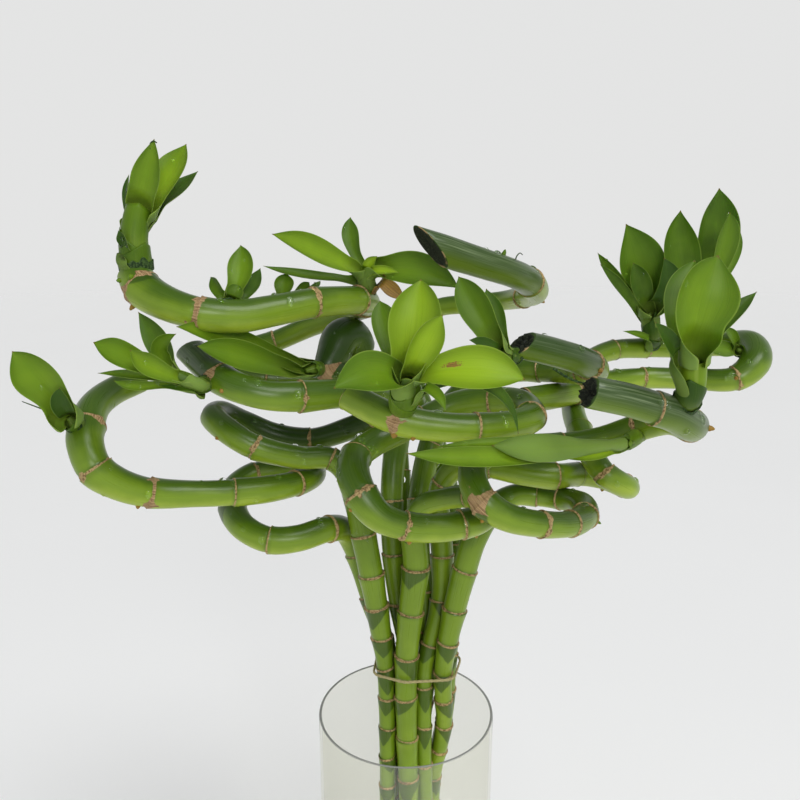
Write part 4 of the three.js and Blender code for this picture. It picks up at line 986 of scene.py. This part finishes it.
def blade(leaf, stalk, traced, start, order, base, closed, scar):
    """A leaf: a strip on a rib that runs up the stalk and then bends through the leaf's middle to
    its tip. Its section is an arc of a circle, which turns through nearly a full round at the foot,
    where the leaf wraps the stalk, and opens into a shallow cup past the share called closed. Its
    half width as seen is half the leaf's width times a sine of the distance, joined by a root of
    squares to the greater of the stalk's radius and the base's share of the width. The edges wave a
    little, and the middle is a shallow channel. A scar is a place along and across the leaf that has
    dried, in a spot whose strength falls off as a bell curve."""
    root, middle, tip, width, face, belly, tone = leaf
    root, middle, tip, face = (np.array(value, float) for value in (root, middle, tip, face))
    curve, lengths = traced[:2]
    at_root = lengths[np.linalg.norm(curve - root, axis=1).argmin()]
    neck = np.clip(at_root - start, *NECK_LENGTH)
    u = np.append(np.linspace(-1, 0, NECK_ROWS, endpoint=False), np.linspace(0, 1, LEAF_ROWS))[:, None]
    s = np.clip(u, 0, 1)
    foot = np.clip(at_root + np.minimum(u, 0) * neck, 0, lengths[-1])
    axis = read_along(curve, lengths, foot)[:, 0]
    control = 2 * middle - (root + tip) / 2
    spine = (1 - s) ** 2 * root + 2 * s * (1 - s) * control + s ** 2 * tip
    spine = np.where(u < 0, axis + (root - axis[-1]) * (1 + u), spine)
    padded = np.pad(spine, ((4, 4), (0, 0)), mode="reflect", reflect_type="odd")
    spine = sum(padded[k:k + len(spine)] for k in range(9)) / 9
    along = unit(np.gradient(spine, axis=0))
    opening = smooth((u - closed) / ROLL_OPENS)
    heading = unit(curve[-1] - curve[-5])
    lateral = middle - root
    lateral = lateral - (lateral @ heading) * heading
    outward = unit(lateral + 1e-6)
    turned = smooth((np.linalg.norm(lateral) / np.linalg.norm(middle - root) - 0.4) / 0.3)
    facing = (1 - opening) * (face * (1 - turned) - outward * turned) + opening * face
    up = unit(facing - np.sum(facing * along, 1)[:, None] * along)
    side = np.cross(up, along)
    wrap = girth(stalk, traced, foot) * ROLL_FIT + ROLL_STEP * order
    turn = np.minimum(FULLEST_ROLL, 0.55 * width / wrap) * (1 - opening) + LEAF_CUP * opening
    swell = np.sin(np.pi * (0.06 + 0.94 * s ** belly)) ** (0.8 + 0.3 * s ** 4)
    held = np.sin(np.minimum(turn, np.pi / 2))
    broad = np.maximum(wrap * held, base * width / 2 * smooth(u + 1))
    seen = np.hypot(width / 2 * swell * (u >= 0), broad * (1 - smooth(s / 0.5)))
    seen = np.maximum(seen, 0.1)
    radius = seen / held
    angle = round_angles(LEAF_SIDES)[None]
    v = np.cos(angle)
    bend = turn * v
    inward = up[:, None] * np.cos(bend)[..., None] - side[:, None] * np.sin(bend)[..., None]
    across = (np.sin(bend) * radius)[..., None] * side[:, None]
    rise = (1 - np.cos(bend)) * radius - wrap * (1 - opening)
    wave = LEAF_WAVE * width * np.sin(8 * s + order * 2 + 1.5 * v)
    wave = wave * np.abs(v) ** 3 * np.sign(v) * s * (1 - s) * 2
    channel = CHANNEL_DEPTH * width * np.exp(-(v / CHANNEL_WIDTH) ** 2) * (1 - 0.8 * s) * opening
    thick = LEAF_THICKNESS * (1 - 0.5 * s) * np.minimum(1, 0.3 + seen / 3)
    skin = thick / 2 * np.sign(np.sin(angle)) * np.abs(np.sin(angle)) ** 0.5
    points = spine[:, None] + across + rise[..., None] * up[:, None]
    points = points + (wave - channel + skin)[..., None] * inward
    dried = np.exp(-((s - scar[0]) / SCAR_LENGTH) ** 2 - ((v - scar[1]) / SCAR_WIDTH) ** 2)
    return leafy(points, tone, across=v, lengthwise=s, under=np.sin(angle) < -0.01, scar=dried)


def stalk_part(stalk, traced, tone):
    """The stalk inside the leaf bases: a round tube that narrows to a third at its top."""
    steps = np.linspace(0, traced[1][-1] * 0.9, 24)[:, None]
    radius = girth(stalk, traced, steps) * (0.97 - 0.65 * smooth(steps / traced[1][-1] * 2 - 0.8))
    angle = round_angles(STALK_SIDES)[None]
    points = tube(traced, steps, radius, angle)
    return leafy(points, tone, across=np.cos(angle * 2), lengthwise=0.1)


def sheath(stalk, traced, low, high, peak, toward, tone, lift, ragged=0, flare=0.15, dark=0.0, seed=1):
    """An old leaf base wrapped round a stalk from one distance along it to another, lifted off the
    wraps below it. Its upper edge rises to a point on one side, by a power of the angle from the far
    side, and may be ragged, with random tears smoothed between neighbours. The wall turns in over
    the edge and runs back down inside, so the wrap is closed."""
    random = np.random.default_rng(seed)
    sides = STALK_SIDES * 2
    angle = round_angles(sides)[None]
    across, upward = (values[0] for values in carried(traced[0]))
    front = math.atan2(upward @ toward, across @ toward)
    away = np.abs((angle - front + np.pi) % (2 * np.pi) - np.pi) / np.pi
    tear = np.pad(random.standard_normal(sides), 2, mode="wrap")
    tear = (tear[1:-3] + 2 * tear[2:-2] + tear[3:-1])[None] / 4
    edge = high + peak * (1 - away) ** 1.1 + ragged * tear
    share, wall = SHEATH_RISE[:, None], SHEATH_WALL[:, None]
    distance = low + share * (edge - low)
    radius = girth(stalk, traced, distance) + wall + lift + flare * share ** 3 * (wall > 0)
    points = tube(traced, distance, radius, angle)
    return leafy(points, tone, across=away + 0 * share, lengthwise=share * 0.5, dark=dark)


def shoot_parts(shoot, seed):
    """The stalk, its torn collar, its pointed old leaf bases, and its leaves. Where the shoot names
    no wraps, a longer stalk gets one or two of them, on opposite sides."""
    stalk, leaves = shoot["stalk"], shoot["leaves"]
    traced = trace(stalk)
    tone = 0.6 * np.mean([leaf[6] for leaf in leaves])
    start = emerging(traced)
    free = traced[1][-1] - start
    turn = np.random.default_rng(seed).uniform(-0.8, 0.8)
    toward = np.array([math.cos(turn), -math.sin(turn + 0.6), 0.2]) * (-1) ** seed
    plain = [(0, 0.2, 0.45, -toward, tone), (0.25, 0.5, 0.45, toward, 0.8 * tone)]
    wraps = shoot.get("wraps", plain[:sum(free > least for least in FREE_FOR_WRAPS)])
    layer = WRAP_THICKNESS if "wraps" in shoot else 0
    parts = [stalk_part(stalk, traced, tone)]
    collar = shoot.get("collar", PLAIN_COLLAR)
    if collar:
        parts.append(sheath(
            stalk, traced, start - COLLAR_SUNK, start + collar, 1.2, toward, tone, layer * len(wraps),
            ragged=1.3, flare=0.35, dark=1.0, seed=seed))
    for order, (low, high, peak, facing, shade) in enumerate(wraps):
        parts.append(sheath(stalk, traced, start + low * free, start + high * free, peak * free,
                            np.array(facing, float), shade, layer * order))
    base = shoot.get("base", PLAIN_BASE)
    closed = shoot.get("closed", PLAIN_CLOSED)
    scarred, *place = shoot.get("scar", (None, 0, 0))
    for order, leaf in enumerate(leaves):
        scar = place if order == scarred else NO_SCAR
        parts.append(blade(leaf, stalk, traced, start, order, base, closed, scar))
    return parts


LEAF_DEEP = (0.026, 0.066, 0.005)
LEAF_GREEN = (0.118, 0.214, 0.008)
LEAF_LIME = (0.270, 0.415, 0.014)
LEAF_PALE = (0.300, 0.400, 0.075)
LEAF_BACK = (0.150, 0.240, 0.055)
LEAF_DRY = (0.330, 0.200, 0.035)
TORN_DARK = (0.012, 0.030, 0.008)
TORN_GREEN = (0.060, 0.110, 0.030)


def leaf_paint():
    """Smooth satin leaf: fine parallel veins from root to tip, a pale root and edge, a darker flank
    and tip, a duller paler back, a brown point, and dark dried skin on torn collars and scars."""
    paint = Paint("green_leaf")
    across, lengthwise, tone, under, dark, scar = map(
        paint.read, ("across", "lengthwise", "tone", "under", "dark", "scar"))
    lanes = paint.add("CombineXYZ", {0: across * 26.0, 1: lengthwise, 2: tone})
    vein = paint.noise(1.4, 4, 0.65, lanes)
    cloud = paint.noise(70)
    grain = paint.noise(1200, 3, 0.6)
    # The leaf's green follows its tone, which is partly painted shade.
    shade = (cloud - 0.5) * 0.3 + tone
    colour = paint.layers(
        LEAF_DEEP,
        (LEAF_GREEN, shade, 0.0, 0.5),
        (LEAF_LIME, shade, 0.45, 1.0),
        (LEAF_PALE, vein, 0.5, 0.75, 0.09),
        (LEAF_DEEP, vein, 0.5, 0.3, 0.16),
        (LEAF_DEEP, abs(across), 0.1, 1.1, 0.45),
        (LEAF_PALE, lengthwise, 0.3, 0.0, 0.25))
    colour = paint.mix(under * (tone * 0.8 + 0.1), colour, LEAF_BACK)
    colour = paint.layers(
        colour,
        (LEAF_PALE, abs(across), 0.93, 0.985, 0.32),
        (LEAF_DEEP, lengthwise, 0.5, 1.05, 0.35),
        (SCAR_BROWN, lengthwise, 0.965, 0.995, 0.8))
    torn = paint.layers(TORN_DARK, (TORN_GREEN, grain, 0.4, 0.62))
    colour = paint.mix(dark, colour, torn)
    dry = paint.layers(SCAR_BROWN, (LEAF_DRY, vein, 0.4, 0.6), (CUT_BLACK, scar, 0.8, 0.95))
    wilt = paint.fade(grain * 0.8 + scar, 0.8, 0.95)
    wilt = paint.sum("MAXIMUM", paint.fade(tone, -0.2, -0.8), wilt)
    colour = paint.mix(wilt, colour, dry)
    return paint.finish(Base_Color=colour, Roughness=dark * 0.3 + under * 0.15 + 0.4,
                        Specular_IOR_Level=0.16, Subsurface_Weight=0.1, Subsurface_Scale=0.002,
                        Subsurface_Radius=(0.5, 1, 0.05), Normal=paint.bump(vein * 0.8 + grain * 0.25, 0.2))


leaf_finish = leaf_paint()
foliage = []
for seed, (node, shoot) in enumerate(shoots.items()):
    parts = shoot_parts(shoot, seed)
    foliage += parts[-len(shoot["leaves"]):]
    build(node.replace("shoot_", "foliage_"), parts, leaf_finish, "leaf", node)

# Buds
# Small sleeping buds and dried leaf bases on the canes' rings, and dry threads that hang off them.
# They grew where they are, so each is sunk a little into its cane.

# A bud is the share of its cane's length at which it sits, the way it points, its length, its width
# and its tone, as a leaf's. A thread is points of x, y, z and diameter.
buds = {
    "cane_top_left": [(0.985, (-0.6, -0.3, -1), 3.2, 3, -1), (0.995, (-1, -0.8, 0), 1.5, 2.4, 0.4),
                      (0.99, (0.2, -1, 0.1), 1.5, 3, 0.5)],
    "cane_left_outer": [(0.863, (0, -0.4, -1), 1.5, 2.4, -1)],
    "cane_left_inner": [(0.665, (-0.4, -1, -0.7), 1.2, 2.4, -1)],
    "cane_right_low": [(0.605, (1, -0.4, -0.5), 2.4, 2, 0.3), (0.912, (1, -0.3, -0.1), 2.4, 2.8, -1),
                       (0.7, (0, -0.5, -1), 1.5, 2.4, -1)],
    "cane_top": [(0.945, (0.3, 0, 1), 2.6, 2.4, 0.3), (0.84, (1, -0.2, -0.7), 1.8, 2.6, -1)],
    "cane_front": [(0.965, (0, -0.7, -1), 2, 3.6, -1), (0.955, (0.3, -0.7, -1), 1.5, 2.6, -1),
                   (0.675, (-1, -0.5, -0.3), 1.4, 2.6, -1), (0.64, (0, -0.5, -1), 1.6, 2.8, -1),
                   (0.598, (0.3, -0.5, -1), 1.3, 2.4, -1)],
    "cane_far_right": [(0.505, (0.4, -0.5, -1), 1.3, 2.4, -1), (0.84, (-0.5, -1, 0.2), 1.6, 2.4, -1)],
    "cane_centre": [(0.92, (1, -0.5, -0.5), 1.4, 2.6, -1)],
    "cane_left_middle": [(0.93, (-0.3, -1, -0.3), 1.4, 2.6, -1)],
}
threads = [
    [(-118.2, -22, 558.5, 0.8), (-117.8, -22, 561, 0.8), (-116.2, -22.5, 562, 0.7),
     (-114.6, -23, 561.2, 0.5)],
    [(-179, -46, 445, 0.4), (-174, -46, 443, 0.6), (-169, -46, 441, 0.7), (-162, -45, 438, 0.9)],
    [(55, 4, 506, 0.7), (55.5, 2, 508.6, 0.6), (57, 2, 510, 0.5), (58.4, 2, 509, 0.4)],
    [(65, -57, 463, 1.4), (70, -60, 460, 1.3), (75, -62, 458, 1), (80, -63, 457.6, 0.6)],
]
BUD_SUNK = 0.4
BUD_ASIDE = (0.31, 0.92, 0.24)


def bud(place, toward, length, width, tone):
    """A pointed bud: its radius is the root of what is left of its length, with five soft ribs."""
    share = np.linspace(-BUD_SUNK, 1, 9)[:, None]
    angle = round_angles(14)[None]
    side = unit(np.cross(toward, BUD_ASIDE))
    ribs = 1 + 0.12 * np.sin(5 * angle + 9 * share)
    radius = width / 2 * np.sqrt(np.clip(1 - share, 0.02, 1)) * ribs
    ring = np.cos(angle)[..., None] * side + np.sin(angle)[..., None] * np.cross(toward, side)
    points = place + share[..., None] * length * toward + radius[..., None] * ring
    return leafy(points, tone)


def thread(route):
    """A round tapering thread along a smooth curve."""
    traced = trace(route)
    steps = np.linspace(0, traced[1][-1], 24)[:, None]
    points = tube(traced, steps, girth(route, traced, steps), round_angles(8)[None])
    return leafy(points, 0.2, dark=1.0)


def on_cane(node, share, toward):
    """The place on a cane's skin at a share of its length, on the side that faces a direction, and
    the direction straight out of the skin there."""
    curve, lengths = traces[node][:2]
    distance = share * lengths[-1]
    middle = read_along(curve, lengths, distance)
    along = unit(middle - read_along(curve, lengths, distance - 1))
    toward = np.array(toward, float)
    out = unit(toward - (toward @ along) * along)
    return middle + out * girth(canes[node]["route"], traces[node], distance), out


small = [bud(*on_cane(node, share, toward), length, width, tone)
         for node, row in buds.items() for share, toward, length, width, tone in row]
build("buds", small + [thread(route) for route in threads], leaf_finish, "leaf")

# Dew
# Drops of water left by a mister. They cling to the skin of the canes, mostly above and in front,
# and to the faces of the leaves.
DROPS_ON_CANES = 240
DROPS_ON_LEAVES = 60
CANE_DROP, LEAF_DROP = (0.8, 2.0), (0.6, 1.4)
DROP_LOWEST = 360
DROP_TINT = (0.98, 1.0, 0.98)
DROP_BEND = 1.333
DOWNHILL = np.array([0.05, -0.1, -1])
DROP_HEIGHT = 0.65
DEW_BEND = np.radians([-25, 5, 30, 52, 70, 84])


def dewdrop(place, out, radius, lean):
    """A flattened half ball of water: a quarter circle of radius against height, two thirds as high
    as a ball, drawn out a little down the slope."""
    down = unit(DOWNHILL - (out @ DOWNHILL) * out)
    angle = round_angles(12)[None]
    ring = np.cos(angle)[..., None] * down * lean + np.sin(angle)[..., None] * np.cross(out, down)
    points = place + (radius * np.cos(DEW_BEND))[:, None, None] * ring
    return grid(points + (radius * DROP_HEIGHT * np.sin(DEW_BEND))[:, None, None] * out)


random = np.random.default_rng(11)
drops = []
while len(drops) < DROPS_ON_CANES:
    node = random.choice(list(canes))
    place, out = on_cane(node, random.uniform(0.5, 0.99), random.standard_normal(3) + (0, -1, 1))
    if place[2] > DROP_LOWEST:
        drops.append(dewdrop(place, out, random.uniform(*CANE_DROP), random.uniform(1, 1.5)))
for part in random.choice(len(foliage), DROPS_ON_LEAVES):
    skin = foliage[part]["points"].reshape(-1, LEAF_SIDES, 3)
    row, column = random.integers(NECK_ROWS + 6, len(skin) - 8), random.integers(4, 14)
    out = unit(skin[row, column] - skin[row, -column])
    drops.append(dewdrop(skin[row, column], out, random.uniform(*LEAF_DROP), random.uniform(1, 1.4)))
build("dew", drops, clear("dew", DROP_TINT, DROP_BEND), "water")

# Floor
# A wide plain pale floor, which is there only for the picture. It lies under the vase by a hair and
# fades out into the pale room.
FLOOR_REACH = 60
FLOOR_DROP = 0.0002
FLOOR_GREYS = (0.77, 0.772, 0.77), (0.79, 0.792, 0.79)
HAZE_FROM, HAZE_TO = 0.9, 7
floor_mesh = bpy.data.meshes.new("floor")
floor_mesh.from_pydata(
    [(x * FLOOR_REACH, y * FLOOR_REACH, -FLOOR_DROP) for x, y in ((-1, -1), (1, -1), (1, 1), (-1, 1))],
    [], [(0, 1, 2, 3)])
floor = put_in_scene("floor", floor_mesh)
floor_paint = Paint("pale_floor")
soft = floor_paint.noise(3)
floor_paint.finish(Base_Color=floor_paint.mix(soft, *FLOOR_GREYS), Roughness=0.9,
                   Emission_Color=(1, 1, 1), Emission_Strength=0.14)
distance = floor_paint.field("VectorMath", {0: floor_paint.place()}, "Value", operation="LENGTH")
haze = {0: floor_paint.fade(distance, HAZE_FROM, HAZE_TO), 1: floor_paint.shader,
        2: floor_paint.add("BsdfTransparent")}
floor_mesh.materials.append(floor_paint.surface(floor_paint.add("MixShader", haze)))
